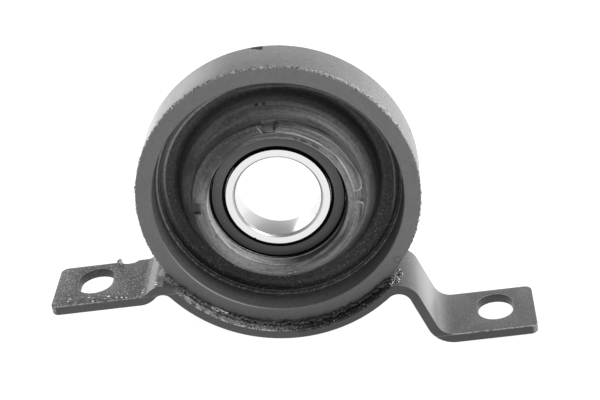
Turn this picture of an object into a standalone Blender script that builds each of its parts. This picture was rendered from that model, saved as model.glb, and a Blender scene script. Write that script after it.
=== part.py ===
"""Driveshaft centre bearing: a sealed ball bearing held by a moulded rubber ring in a steel
ring, which a bent steel strap with two slotted feet carries.

Lengths are in metres. Pieces are modelled about the shaft axis, with Y = 0 at the front face
of the rubber rim and +Y running rearwards along the shaft. The empty shaft_axis then places
them: +X to the longer right leg, +Z up, and the origin under the middle of the whole part, at
the height of the lower foot's underside."""

import math

import bmesh
import bpy
from mathutils import Matrix

# Clearances between pieces
SEAT_GAP = 0.0003
RUNNING_GAP = 0.00035

# Ball bearing, from the bore outwards
BORE_RADIUS = 0.0175
RACE_FLOOR = 0.00248
BALL_RADIUS = 0.003969
BALL_COUNT = 11
SHOULDER_HEIGHT = 0.0019
LAND_STEP = 0.0005
RECESS_STEP = 0.00105
RACE_CHAMFER = 0.0006

# Ball bearing, along the shaft
SEAL_RECESS = 0.0003
SEAL_THICKNESS = 0.0013
SEAL_LIP_RECESS = 0.0009
SEAL_LIP_WIDTH = 0.00115
CAGE_TO_SEAL = 0.000331
BEARING_FRONT = 0.0023

# Cage
CAGE_THICKNESS = 0.0008
CAGE_WIDTH = 0.0025
RIVET_SHANK_RADIUS = 0.0005
RIVET_HEAD_RADIUS = 0.0011
RIVET_HEAD_HEIGHT = 0.0005

# Steel sleeve around the bearing
SLEEVE_WALL = 0.0012
SLEEVE_FLANGE_REACH = 0.0017
SLEEVE_TAIL = 0.0017

# Rubber hub in front of the sleeve
HUB_FRONT = -0.0030
HUB_MOUTH_STEP = 0.00055
HUB_MOUTH_FLARE = 0.0004
HUB_MOUTH_DEPTH = 0.0004
HUB_EDGE_WALL = 0.0018
HUB_EDGE_DROP = 0.0014
HUB_CONE_STEP = 0.0013
HUB_CONE_DEPTH = 0.0064
HUB_REAR_WALL = 0.0034

# Rounded edges of the rubber
RIM_FILLET = 0.0008
CONE_FILLET = 0.0012
HUB_FILLET = 0.0005

# Rubber web between the hub and the ring
CREST_REACH = 0.0040
CREST_DEPTH = 0.0040
GROOVE_INNER_SLOPE = 0.0025
GROOVE_DEPTH = 0.0174
GROOVE_WIDTH = 0.0072
GROOVE_OUTER_SLOPE = 0.0004
GROOVE_FILLET = 0.0028
WEB_THICKNESS = 0.0042
LEG_THICKNESS = 0.0030

# Mould parting line on the wall of the rubber, seen from the front
PARTING_DEPTH = 0.0112
PARTING_STEP = 0.0008
RIM_FLARE = 0.0005
RUBBER_WALL = 0.0034
RIM_THICKNESS = 0.0007

# Four notches in the front edge of the hub
NOTCH_COUNT = 4
NOTCH_WIDTH = 0.0050
NOTCH_TURN = math.radians(2.7)
NOTCH_SLOPE = math.radians(39)
NOTCH_LIP = 0.0008

# Outer steel ring
RING_WALL = 0.0030
RING_REAR = 0.0235
RING_CHAMFER = 0.0004

# Strap
STRAP_THICKNESS = 0.0040
STRAP_FRONT_OVERHANG = 0.0058
STRAP_REAR_OVERHANG = 0.0039
STRAP_EDGE = 0.0004
FOOT_CORNER = 0.0032
SLOT_WIDTH = 0.0147
SLOT_LENGTH = 0.0202
SLOT_OFFSET = 0.0023

# Left leg: it comes off the ring over a shoulder bend and runs out into a high foot
LEFT_DROP = 0.0384
LEFT_SHOULDER_BEND = 0.00635
LEFT_DESCENT = math.radians(41)
LEFT_STRAIGHT = 0.0004
LEFT_FOOT_BEND = 0.00755
LEFT_FOOT_LENGTH = 0.0378
LEFT_SLOT_INSET = 0.0171

# Right leg, which goes down to a low foot
RIGHT_DROP = 0.0732
RIGHT_SHOULDER_BEND = 0.00755
RIGHT_DESCENT = math.radians(69)
RIGHT_STRAIGHT = 0.0159
RIGHT_FOOT_BEND = 0.0100
RIGHT_FOOT_LENGTH = 0.0340
RIGHT_SLOT_INSET = 0.0165

# Bite knocked out of the left foot's rear edge
CHIP_RADIUS = 0.0046
CHIP_DEPTH = 0.0022
CHIP_FROM_BEND = 0.0078

# Weld beads in the corners between ring and strap, and how far past the strap's arc they run
BEAD_HEIGHT = 0.0029
FRONT_BEAD_DEPTH = 0.0036
REAR_BEAD_DEPTH = 0.0026
LEFT_BEAD_OVERRUN = math.radians(-2)
RIGHT_BEAD_OVERRUN = math.radians(5)

# Facets
RING_STEPS = 48
RACE_STEPS = 32
BALL_STEPS = 10
BALL_RINGS = 6
RIVET_STEPS = 8
SLOT_END_STEPS = 8
CHIP_STEPS = 20
BEND_STEP = math.radians(7)
FILLET_FACET = 0.0009
CORNER_STEPS = 4
RACEWAY_STEPS = 5
POCKET_STEPS = 4

# Sizes that follow from those above
POCKET_RADIUS = BALL_RADIUS + SEAT_GAP
PITCH_RADIUS = BORE_RADIUS + RACE_FLOOR + POCKET_RADIUS
INNER_SHOULDER = PITCH_RADIUS - POCKET_RADIUS + SHOULDER_HEIGHT
OUTER_SHOULDER = PITCH_RADIUS + POCKET_RADIUS - SHOULDER_HEIGHT
LAND_RADIUS = INNER_SHOULDER - LAND_STEP
RECESS_RADIUS = OUTER_SHOULDER + RECESS_STEP
RACE_RADIUS = PITCH_RADIUS + POCKET_RADIUS + RACE_FLOOR
HALF_WIDTH = POCKET_RADIUS + CAGE_THICKNESS + CAGE_TO_SEAL + SEAL_THICKNESS + SEAL_RECESS
SEAL_SEAT = HALF_WIDTH - SEAL_RECESS - SEAL_THICKNESS - SEAT_GAP
BEARING_CENTRE = BEARING_FRONT + HALF_WIDTH
SLEEVE_BORE = RACE_RADIUS + SEAT_GAP
SLEEVE_RADIUS = SLEEVE_BORE + SLEEVE_WALL
SLEEVE_FRONT = BEARING_FRONT - SEAT_GAP - SLEEVE_WALL
SLEEVE_REAR = BEARING_FRONT + 2 * HALF_WIDTH + SLEEVE_TAIL
RUBBER_BORE = SLEEVE_RADIUS + SEAT_GAP
HUB_MOUTH = RECESS_RADIUS + HUB_MOUTH_STEP
HUB_EDGE = RUBBER_BORE + HUB_EDGE_WALL
HUB_CONE = HUB_EDGE + HUB_CONE_STEP
HUB_CONE_Y = HUB_FRONT + HUB_EDGE_DROP + HUB_CONE_DEPTH
CREST_RADIUS = HUB_CONE + CREST_REACH
CREST_Y = HUB_CONE_Y + CREST_DEPTH
GROOVE_INNER = CREST_RADIUS + GROOVE_INNER_SLOPE
GROOVE_OUTER = GROOVE_INNER + GROOVE_WIDTH
WALL_RADIUS = GROOVE_OUTER + GROOVE_OUTER_SLOPE
RIM_RADIUS = WALL_RADIUS + PARTING_STEP + RIM_FLARE
RUBBER_RADIUS = RIM_RADIUS + RUBBER_WALL
RING_BORE = RUBBER_RADIUS + SEAT_GAP
RING_RADIUS = RING_BORE + RING_WALL
RING_FRONT = RIM_THICKNESS + SEAT_GAP
STRAP_BORE = RING_RADIUS + SEAT_GAP
STRAP_MIDDLE = STRAP_BORE + STRAP_THICKNESS / 2
STRAP_FRONT = -STRAP_FRONT_OVERHANG
STRAP_REAR = RING_REAR + STRAP_REAR_OVERHANG
STRAP_CENTRE = (STRAP_FRONT + STRAP_REAR) / 2


class Leg:
    """A leg's middle line, drawn as if on the +X side: bend, straight, bend, foot."""

    def __init__(self, drop, upper, descent, straight, lower, foot_length, slot_inset):
        self.upper = upper
        self.lower = lower
        self.descent = descent
        self.straight = straight
        self.foot_z = STRAP_THICKNESS / 2 - drop
        fall = (upper + lower) * math.cos(descent) - straight * math.sin(descent)
        centre_z = self.foot_z + lower - fall
        # The shoulder bend touches the ring's arc, which gives where the strap leaves the ring.
        self.arc_end = math.acos(-centre_z / (STRAP_MIDDLE + upper))
        self.centre_x = (STRAP_MIDDLE + upper) * math.sin(self.arc_end)
        self.centre_z = centre_z
        run = (upper + lower) * math.sin(descent) + straight * math.cos(descent)
        self.bend_end = self.centre_x + run
        self.reach = self.bend_end + foot_length
        self.slot_x = self.reach - slot_inset

    def path(self):
        """Points (x, z, heading) from just past the ring's arc to the tip of the foot."""
        points = []
        sweep = self.arc_end + self.descent
        steps = math.ceil(sweep / BEND_STEP)
        for step in range(1, steps + 1):
            heading = self.arc_end - sweep * step / steps
            points.append(on_bend(self.centre_x, self.centre_z, self.upper, heading))
        steps = math.ceil(self.descent / BEND_STEP)
        for step in range(steps + 1):
            heading = self.descent * (step / steps - 1)
            points.append(on_bend(self.bend_end, self.foot_z + self.lower, -self.lower, heading))
        points.append((self.reach, self.foot_z, 0))
        return points


def on_bend(centre_x, centre_z, radius, heading):
    """A point of an arc where it runs at this heading; a negative radius bends upwards."""
    return (centre_x - radius * math.sin(heading), centre_z + radius * math.cos(heading), heading)


LEFT_LEG = Leg(
    LEFT_DROP,
    LEFT_SHOULDER_BEND,
    LEFT_DESCENT,
    LEFT_STRAIGHT,
    LEFT_FOOT_BEND,
    LEFT_FOOT_LENGTH,
    LEFT_SLOT_INSET,
)
RIGHT_LEG = Leg(
    RIGHT_DROP,
    RIGHT_SHOULDER_BEND,
    RIGHT_DESCENT,
    RIGHT_STRAIGHT,
    RIGHT_FOOT_BEND,
    RIGHT_FOOT_LENGTH,
    RIGHT_SLOT_INSET,
)

# Where the shaft axis lies above the part's origin
SHAFT_X = (LEFT_LEG.reach - RIGHT_LEG.reach) / 2
SHAFT_Y = -STRAP_CENTRE
SHAFT_Z = max(LEFT_DROP, RIGHT_DROP, STRAP_BORE + STRAP_THICKNESS)

MERGE = 0.00001
ALONG_SHAFT = (-math.pi / 2, 0, 0)

# Colour, roughness and metallic value of each finish
COATED_STEEL = ((0.12, 0.12, 0.12), 0.5, 0.6)
STRAP_COAT = ((0.10, 0.10, 0.10), 0.55, 0.5)
RUBBER = ((0.035, 0.035, 0.036), 0.6, 0.0)
SEAL_RUBBER = ((0.05, 0.05, 0.05), 0.45, 0.0)
GROUND_STEEL = ((0.82, 0.82, 0.82), 0.2, 1.0)
PRESSED_STEEL = ((0.6, 0.6, 0.6), 0.35, 1.0)
BLACK_BEAD = ((0.012, 0.012, 0.012), 0.4, 0.0)


def clear_scene():
    for obj in list(bpy.data.objects):
        bpy.data.objects.remove(obj)


def new_collection(name):
    collection = bpy.data.collections.new(name)
    bpy.context.scene.collection.children.link(collection)
    return collection


clear_scene()
PARTS = new_collection("driveshaft_centre_bearing")
CUTTERS = new_collection("cutters")
SHAFT_AXIS = bpy.data.objects.new("shaft_axis", None)
SHAFT_AXIS.location = (SHAFT_X, SHAFT_Y, SHAFT_Z)
PARTS.objects.link(SHAFT_AXIS)


def finish(obj, look):
    colour, roughness, metallic = look
    material = bpy.data.materials.new(obj.name)
    material.use_nodes = True
    shader = material.node_tree.nodes["Principled BSDF"]
    shader.inputs["Base Color"].default_value = (*colour, 1)
    shader.inputs["Roughness"].default_value = roughness
    shader.inputs["Metallic"].default_value = metallic
    obj.data.materials.append(material)


def add_object(name, data, location=(0, 0, 0), rotation=(0, 0, 0), look=None):
    """An object of the part, or a hidden cutter if it has no look."""
    obj = bpy.data.objects.new(name, data)
    (PARTS if look else CUTTERS).objects.link(obj)
    obj.parent = SHAFT_AXIS
    obj.location = location
    obj.rotation_euler = rotation
    if look:
        finish(obj, look)
    else:
        obj.hide_render = True
        obj.display_type = "WIRE"
    return obj


def mesh_of(obj):
    """The object's evaluated shape as a mesh, with loose caps welded."""
    graph = bpy.context.evaluated_depsgraph_get()
    mesh = bpy.data.meshes.new_from_object(obj.evaluated_get(graph))
    shape = bmesh.new()
    shape.from_mesh(mesh)
    bmesh.ops.remove_doubles(shape, verts=shape.verts, dist=MERGE)
    edges = [edge for edge in shape.edges if edge.is_boundary]
    if edges:
        bmesh.ops.holes_fill(shape, edges=edges, sides=0)
    bmesh.ops.recalc_face_normals(shape, faces=shape.faces)
    shape.to_mesh(mesh)
    shape.free()
    mesh.materials.clear()
    return mesh


def as_mesh(obj, name, look=None):
    """Puts a plain mesh object in the place of a curve or of an object with modifiers."""
    mesh = mesh_of(obj)
    made = add_object(name, mesh, obj.location, obj.rotation_euler, look)
    bpy.data.objects.remove(obj)
    return made


def smooth(mesh, angle=35):
    mesh.shade_smooth()
    mesh.set_sharp_from_angle(angle=math.radians(angle))


def rounded(corners):
    """The points of an outline, each corner (across, along, fillet) rounded by its fillet."""
    points = []
    count = len(corners)
    for i, (across, along, fillet) in enumerate(corners):
        here = complex(across, along)
        if not fillet:
            points.append((across, along))
            continue
        before = complex(*corners[i - 1][:2]) - here
        after = complex(*corners[(i + 1) % count][:2]) - here
        before_unit = before / abs(before)
        after_unit = after / abs(after)
        cosine = (before_unit * after_unit.conjugate()).real
        half = math.acos(max(-1.0, min(1.0, cosine))) / 2
        cut = min(fillet / math.tan(half), 0.49 * abs(before), 0.49 * abs(after))
        centre = here + (before_unit + after_unit) / abs(before_unit + after_unit) * (
            cut / math.cos(half)
        )
        start = here + before_unit * cut - centre
        end = here + after_unit * cut - centre
        turn = math.atan2((end / start).imag, (end / start).real)
        steps = max(1, round(fillet / FILLET_FACET))
        for step in range(steps + 1):
            angle = turn * step / steps
            point = centre + start * complex(math.cos(angle), math.sin(angle))
            points.append((point.real, point.imag))
    return points


def turned(name, profile, look, steps, start=0.0, sweep=2 * math.pi, closed=True):
    """A profile of (radius, along the shaft) turned about the shaft axis, as a mesh."""
    mesh = bpy.data.meshes.new(name)
    cosine, sine = math.cos(start), math.sin(start)
    points = [(radius * cosine, radius * sine, along) for radius, along in profile]
    edges = [(i, i + 1) for i in range(len(points) - 1)]
    if closed:
        edges.append((len(points) - 1, 0))
    mesh.from_pydata(points, edges, [])
    obj = add_object(name + "_profile", mesh, rotation=ALONG_SHAFT)
    screw = obj.modifiers.new("turn", "SCREW")
    screw.angle = sweep
    screw.steps = steps
    screw.render_steps = steps
    screw.use_merge_vertices = True
    screw.merge_threshold = MERGE
    made = as_mesh(obj, name, look)
    smooth(made.data)
    return made


def extruded(name, outline, depth, location, rotation, look=None):
    """A flat outline with a thickness, as a mesh."""
    curve = bpy.data.curves.new(name, "CURVE")
    curve.dimensions = "2D"
    curve.fill_mode = "BOTH"
    curve.extrude = depth / 2
    spline = curve.splines.new("POLY")
    spline.points.add(len(outline) - 1)
    for point, (x, y) in zip(spline.points, outline):
        point.co = (x, y, 0, 1)
    spline.use_cyclic_u = True
    obj = add_object(name + "_outline", curve, location, rotation)
    return as_mesh(obj, name, look)


def cut_with(obj, cutter):
    cut = obj.modifiers.new(cutter.name, "BOOLEAN")
    cut.operation = "DIFFERENCE"
    cut.solver = "EXACT"
    cut.object = cutter


def raceway(sign):
    """The groove that the balls run in, on the inner (-1) or outer (+1) race, rear to front."""
    chord = math.sqrt(POCKET_RADIUS**2 - (POCKET_RADIUS - SHOULDER_HEIGHT) ** 2)
    reach = math.asin(chord / POCKET_RADIUS)
    points = []
    for step in range(RACEWAY_STEPS + 1):
        angle = reach * (1 - 2 * step / RACEWAY_STEPS)
        radius = PITCH_RADIUS + sign * POCKET_RADIUS * math.cos(angle)
        points.append((radius, POCKET_RADIUS * math.sin(angle)))
    return points


def at_bearing(profile):
    """Moves a profile from the bearing's middle plane to its place on the shaft."""
    return [(radius, along + BEARING_CENTRE) for radius, along in profile]


def make_races():
    inner = [
        (LAND_RADIUS, HALF_WIDTH),
        (LAND_RADIUS, SEAL_SEAT),
        (INNER_SHOULDER, SEAL_SEAT),
        *raceway(-1),
        (INNER_SHOULDER, -SEAL_SEAT),
        (LAND_RADIUS, -SEAL_SEAT),
        (LAND_RADIUS, -HALF_WIDTH),
        (BORE_RADIUS + RACE_CHAMFER, -HALF_WIDTH),
        (BORE_RADIUS, -HALF_WIDTH + RACE_CHAMFER),
        (BORE_RADIUS, HALF_WIDTH - RACE_CHAMFER),
        (BORE_RADIUS + RACE_CHAMFER, HALF_WIDTH),
    ]
    turned("bearing_inner_race", at_bearing(inner), GROUND_STEEL, RACE_STEPS)
    outer = [
        (RACE_RADIUS, HALF_WIDTH - RACE_CHAMFER),
        (RACE_RADIUS, -HALF_WIDTH + RACE_CHAMFER),
        (RACE_RADIUS - RACE_CHAMFER, -HALF_WIDTH),
        (RECESS_RADIUS, -HALF_WIDTH),
        (RECESS_RADIUS, -SEAL_SEAT),
        (OUTER_SHOULDER, -SEAL_SEAT),
        *reversed(raceway(1)),
        (OUTER_SHOULDER, SEAL_SEAT),
        (RECESS_RADIUS, SEAL_SEAT),
        (RECESS_RADIUS, HALF_WIDTH),
        (RACE_RADIUS - RACE_CHAMFER, HALF_WIDTH),
    ]
    turned("bearing_outer_race", at_bearing(outer), GROUND_STEEL, RACE_STEPS)


def make_seals():
    """A seal sits in a step of the outer race, and its lip runs over the inner race's land."""
    rim = RECESS_RADIUS - RUNNING_GAP
    lip = LAND_RADIUS + RUNNING_GAP
    body = lip + SEAL_LIP_WIDTH
    face = HALF_WIDTH - SEAL_RECESS
    back = face - SEAL_THICKNESS
    lip_face = face - SEAL_LIP_RECESS
    section = [(rim, back), (rim, face), (body, face), (body, lip_face), (lip, lip_face), (lip, back)]
    front = [(radius, -along) for radius, along in section]
    rear = list(reversed(section))
    turned("front_seal", at_bearing(front), SEAL_RUBBER, RACE_STEPS)
    turned("rear_seal", at_bearing(rear), SEAL_RUBBER, RACE_STEPS)


def pocket_samples():
    """Distances from a ball's centre at which the cage's ribbon is sampled, half a ball pitch."""
    samples = []
    for step in range(POCKET_STEPS + 1):
        samples.append(POCKET_RADIUS * math.sin(math.pi / 2 * step / POCKET_STEPS))
    outer = POCKET_RADIUS + CAGE_THICKNESS
    samples.append(math.sqrt(outer**2 - (SEAT_GAP / 2 + CAGE_THICKNESS) ** 2))
    return samples


def ribbon_height(distance, radius, flat):
    """How far a face of the ribbon stands off the cage's middle plane."""
    if distance >= radius:
        return flat
    return max(flat, math.sqrt(radius**2 - distance**2))


def make_cage_half(name, sign, holes):
    """A pressed ribbon that bulges over each ball and lies flat between the balls."""
    shape = bmesh.new()
    inner_radius = PITCH_RADIUS - CAGE_WIDTH / 2
    outer_radius = PITCH_RADIUS + CAGE_WIDTH / 2
    flat = SEAT_GAP / 2
    half = pocket_samples()
    offsets = [-distance for distance in reversed(half[1:])] + half
    rings = []
    for ball in range(BALL_COUNT):
        for offset in offsets:
            angle = 2 * math.pi * ball / BALL_COUNT + offset / PITCH_RADIUS
            near = ribbon_height(abs(offset), POCKET_RADIUS, flat)
            far = ribbon_height(abs(offset), POCKET_RADIUS + CAGE_THICKNESS, flat + CAGE_THICKNESS)
            near_face = ((inner_radius, near), (outer_radius, near))
            far_face = ((outer_radius, far), (inner_radius, far))
            ring = []
            for radius, height in near_face + far_face:
                along = BEARING_CENTRE + sign * height
                point = (radius * math.cos(angle), radius * math.sin(angle), along)
                ring.append(shape.verts.new(point))
            rings.append(ring)
    for here, after in zip(rings, rings[1:] + rings[:1]):
        for i in range(4):
            j = (i + 1) % 4
            shape.faces.new((here[i], here[j], after[j], after[i]))
    bmesh.ops.recalc_face_normals(shape, faces=shape.faces)
    mesh = bpy.data.meshes.new(name)
    shape.to_mesh(mesh)
    shape.free()
    smooth(mesh)
    obj = add_object(name, mesh, rotation=ALONG_SHAFT, look=PRESSED_STEEL)
    cut_with(obj, holes)


def ball_angle(number, between=False):
    """The turn about the shaft of a ball, or of the flat after it."""
    return 2 * math.pi * (number + (0.5 if between else 0)) / BALL_COUNT


def on_pitch_circle(angle):
    return (PITCH_RADIUS * math.cos(angle), BEARING_CENTRE, -PITCH_RADIUS * math.sin(angle))


def make_rivet_holes():
    shape = bmesh.new()
    depth = 4 * (CAGE_THICKNESS + SEAT_GAP)
    for number in range(BALL_COUNT):
        x, along, z = on_pitch_circle(ball_angle(number, between=True))
        place = Matrix.Translation((x, -z, along))
        radius = RIVET_SHANK_RADIUS + SEAT_GAP
        bmesh.ops.create_cone(
            shape,
            cap_ends=True,
            segments=RIVET_STEPS,
            radius1=radius,
            radius2=radius,
            depth=depth,
            matrix=place,
        )
    mesh = bpy.data.meshes.new("rivet_holes")
    shape.to_mesh(mesh)
    shape.free()
    return add_object("rivet_holes", mesh, rotation=ALONG_SHAFT)


def make_cage():
    holes = make_rivet_holes()
    make_cage_half("cage_front_half", -1, holes)
    make_cage_half("cage_rear_half", 1, holes)
    under_head = SEAT_GAP / 2 + CAGE_THICKNESS + SEAT_GAP
    top = under_head + RIVET_HEAD_HEIGHT
    profile = [
        (0, top),
        (RIVET_HEAD_RADIUS, top),
        (RIVET_HEAD_RADIUS, under_head),
        (RIVET_SHANK_RADIUS, under_head),
        (RIVET_SHANK_RADIUS, -under_head),
        (RIVET_HEAD_RADIUS, -under_head),
        (RIVET_HEAD_RADIUS, -top),
        (0, -top),
    ]
    for number in range(BALL_COUNT):
        name = f"cage_rivet_{number + 1:02d}"
        rivet = turned(name, profile, PRESSED_STEEL, RIVET_STEPS, closed=False)
        rivet.location = on_pitch_circle(ball_angle(number, between=True))


def make_balls():
    shape = bmesh.new()
    bmesh.ops.create_uvsphere(shape, u_segments=BALL_STEPS, v_segments=BALL_RINGS, radius=BALL_RADIUS)
    sphere = bpy.data.meshes.new("ball")
    shape.to_mesh(sphere)
    shape.free()
    smooth(sphere, angle=80)
    for number in range(BALL_COUNT):
        mesh = sphere.copy()
        place = on_pitch_circle(ball_angle(number))
        add_object(f"ball_{number + 1:02d}", mesh, place, look=GROUND_STEEL)
    bpy.data.meshes.remove(sphere)


def make_sleeve():
    """A pressed cup: the bearing sits against its inward flange."""
    flange = SLEEVE_BORE - SLEEVE_FLANGE_REACH
    profile = [
        (SLEEVE_RADIUS, SLEEVE_REAR),
        (SLEEVE_RADIUS, SLEEVE_FRONT),
        (flange, SLEEVE_FRONT),
        (flange, SLEEVE_FRONT + SLEEVE_WALL),
        (SLEEVE_BORE, SLEEVE_FRONT + SLEEVE_WALL),
        (SLEEVE_BORE, SLEEVE_REAR),
    ]
    turned("bearing_sleeve", profile, PRESSED_STEEL, RING_STEPS)


def rubber_front():
    """The rubber's visible side, from its outer rim in to the mouth of the hub."""
    return [
        (RING_RADIUS, 0, 0),
        (RIM_RADIUS, 0, RIM_FILLET),
        (WALL_RADIUS + PARTING_STEP, PARTING_DEPTH - PARTING_STEP / 2, 0),
        (WALL_RADIUS, PARTING_DEPTH, 0),
        (GROOVE_OUTER, GROOVE_DEPTH, GROOVE_FILLET),
        (GROOVE_INNER, GROOVE_DEPTH, GROOVE_FILLET),
        (CREST_RADIUS, CREST_Y, CONE_FILLET),
        (HUB_CONE, HUB_CONE_Y, CONE_FILLET),
        (HUB_EDGE, HUB_FRONT + HUB_EDGE_DROP, HUB_FILLET),
        (RACE_RADIUS, HUB_FRONT, 0),
        (HUB_MOUTH + HUB_MOUTH_FLARE, HUB_FRONT + HUB_MOUTH_DEPTH, 0),
        (HUB_MOUTH, BEARING_FRONT - SEAT_GAP, 0),
    ]


def rubber_rear():
    """The hidden side: around the sleeve, then a web that bulges rearwards."""
    flange = SLEEVE_BORE - SLEEVE_FLANGE_REACH - SEAT_GAP
    hub_rear = SLEEVE_REAR - SEAT_GAP
    hub_outer = RUBBER_BORE + HUB_REAR_WALL
    leg_root = CREST_RADIUS - LEG_THICKNESS / 2
    leg_top = GROOVE_INNER - LEG_THICKNESS
    web_rear = GROOVE_DEPTH + WEB_THICKNESS
    valley = CREST_Y + WEB_THICKNESS
    return [
        (flange, BEARING_FRONT - SEAT_GAP, 0),
        (flange, SLEEVE_FRONT - SEAT_GAP, 0),
        (RUBBER_BORE, SLEEVE_FRONT - SEAT_GAP, 0),
        (RUBBER_BORE, hub_rear, 0),
        (hub_outer, hub_rear, HUB_FILLET),
        (hub_outer, valley, HUB_FILLET),
        (leg_root, valley, HUB_FILLET),
        (leg_top, web_rear, GROOVE_FILLET),
        (WALL_RADIUS, web_rear, GROOVE_FILLET / 2),
        (RIM_RADIUS, RING_REAR - SEAT_GAP, 0),
        (RUBBER_RADIUS, RING_REAR - SEAT_GAP, 0),
        (RUBBER_RADIUS, RIM_THICKNESS, 0),
        (RING_RADIUS, RIM_THICKNESS, 0),
    ]


def make_rubber():
    profile = rounded(rubber_front() + rubber_rear())
    rubber = turned("rubber_mount", profile, RUBBER, RING_STEPS)
    cut_with(rubber, make_notches())


def make_notches():
    """Wedges whose sloping floors rise from the hub's cone to its front edge."""
    shape = bmesh.new()
    size = (HUB_CONE - RACE_RADIUS) / math.cos(NOTCH_SLOPE)
    for number in range(NOTCH_COUNT):
        box = bmesh.ops.create_cube(shape, size=1)["verts"]
        bmesh.ops.scale(shape, verts=box, vec=(size, NOTCH_WIDTH, size))
        bmesh.ops.translate(shape, verts=box, vec=(size / 2, 0, -size / 2))
        tilt = Matrix.Rotation(-NOTCH_SLOPE, 4, "Y")
        bmesh.ops.transform(shape, verts=box, matrix=tilt)
        foot = (RACE_RADIUS, 0, HUB_FRONT + NOTCH_LIP)
        bmesh.ops.translate(shape, verts=box, vec=foot)
        turn = NOTCH_TURN + 2 * math.pi * number / NOTCH_COUNT
        bmesh.ops.transform(shape, verts=box, matrix=Matrix.Rotation(turn, 4, "Z"))
    mesh = bpy.data.meshes.new("notches")
    shape.to_mesh(mesh)
    shape.free()
    return add_object("notches", mesh, rotation=ALONG_SHAFT)


def make_ring():
    profile = rounded(
        [
            (RING_RADIUS, RING_REAR, RING_CHAMFER),
            (RING_RADIUS, RING_FRONT, 0),
            (RING_BORE, RING_FRONT, 0),
            (RING_BORE, RING_REAR, RING_CHAMFER),
        ]
    )
    turned("outer_ring", profile, COATED_STEEL, RING_STEPS)


def strap_outline():
    """Both faces of the strip, followed from the left foot round under the ring to the right."""
    path = [(-x, z, -heading) for x, z, heading in reversed(LEFT_LEG.path())]
    sweep = LEFT_LEG.arc_end + RIGHT_LEG.arc_end
    steps = math.ceil(sweep / BEND_STEP)
    for step in range(steps + 1):
        heading = sweep * step / steps - LEFT_LEG.arc_end
        path.append(on_bend(0, 0, -STRAP_MIDDLE, heading))
    path += RIGHT_LEG.path()
    outline = []
    for side, points in ((1, path), (-1, reversed(path))):
        offset = side * STRAP_THICKNESS / 2
        for x, z, heading in points:
            outline.append((x - offset * math.sin(heading), z + offset * math.cos(heading)))
    return outline


def slot_outline(centre_x):
    centre_y = STRAP_CENTRE + SLOT_OFFSET
    radius = SLOT_WIDTH / 2
    straight = SLOT_LENGTH / 2 - radius
    points = []
    for end in (1, -1):
        for step in range(SLOT_END_STEPS + 1):
            angle = math.pi * step / SLOT_END_STEPS
            x = centre_x + end * radius * math.cos(angle)
            points.append((x, centre_y + end * (straight + radius * math.sin(angle))))
    return points


def round_foot_corners(mesh):
    """Rounds the four upright corners at the ends of the feet."""
    shape = bmesh.new()
    shape.from_mesh(mesh)
    corners = []
    for edge in shape.edges:
        first, second = (vert.co for vert in edge.verts)
        at_end = first.x < MERGE - LEFT_LEG.reach or first.x > RIGHT_LEG.reach - MERGE
        if at_end and abs(first.x - second.x) < MERGE and abs(first.z - second.z) < MERGE:
            corners.append(edge)
    bmesh.ops.bevel(
        shape,
        geom=corners,
        offset=FOOT_CORNER,
        offset_type="OFFSET",
        segments=CORNER_STEPS,
        profile=0.5,
        affect="EDGES",
    )
    shape.to_mesh(mesh)
    shape.free()


def make_strap():
    depth = STRAP_REAR - STRAP_FRONT
    place = (0, STRAP_CENTRE, 0)
    upright = (math.pi / 2, 0, 0)
    strap = extruded("bracket_strap", strap_outline(), depth, place, upright, STRAP_COAT)
    round_foot_corners(strap.data)
    edge = strap.modifiers.new("rolled edges", "BEVEL")
    edge.width = STRAP_EDGE
    edge.segments = 1
    edge.limit_method = "ANGLE"
    edge.angle_limit = math.radians(50)
    for leg, side, name in ((LEFT_LEG, -1, "left_slot"), (RIGHT_LEG, 1, "right_slot")):
        outline = slot_outline(side * leg.slot_x)
        slot = extruded(name, outline, 3 * STRAP_THICKNESS, (0, 0, leg.foot_z), (0, 0, 0))
        cut_with(strap, slot)
    cut_with(strap, make_chip())


def make_chip():
    shape = bmesh.new()
    bmesh.ops.create_cone(
        shape,
        cap_ends=True,
        segments=CHIP_STEPS,
        radius1=CHIP_RADIUS,
        radius2=CHIP_RADIUS,
        depth=3 * STRAP_THICKNESS,
    )
    mesh = bpy.data.meshes.new("chip")
    shape.to_mesh(mesh)
    shape.free()
    x = -LEFT_LEG.bend_end - CHIP_FROM_BEND
    return add_object("chip", mesh, (x, STRAP_REAR + CHIP_RADIUS - CHIP_DEPTH, LEFT_LEG.foot_z))


def make_bead(name, section):
    """A bead along the strap's arc, from the right end of the weld to the left."""
    right = RIGHT_LEG.arc_end + RIGHT_BEAD_OVERRUN
    sweep = right + LEFT_LEG.arc_end + LEFT_BEAD_OVERRUN
    steps = math.ceil(sweep / BEND_STEP)
    turned(name, section, BLACK_BEAD, steps, math.pi / 2 - right, sweep)


def make_beads():
    outer = STRAP_BORE * math.cos(BEND_STEP / 2) - SEAT_GAP
    inner = outer - BEAD_HEIGHT
    front = -SEAT_GAP
    rear = RING_REAR + SEAT_GAP
    make_bead("front_weld_bead", [(outer, front), (outer, front - FRONT_BEAD_DEPTH), (inner, front)])
    make_bead("rear_weld_bead", [(outer, rear + REAR_BEAD_DEPTH), (outer, rear), (inner, rear)])


def main():
    make_strap()
    make_ring()
    make_rubber()
    make_sleeve()
    make_races()
    make_seals()
    make_cage()
    make_balls()
    make_beads()


main()
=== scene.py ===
"""Looks of the driveshaft centre bearing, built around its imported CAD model.

Lengths are in metres in the row frame. A piece that goes round the shaft is drawn about the shaft
axis, with its along value counted rearwards from the front face of the rubber rim."""

import math

import bmesh
import bpy
from mathutils import Matrix, Vector


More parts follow.
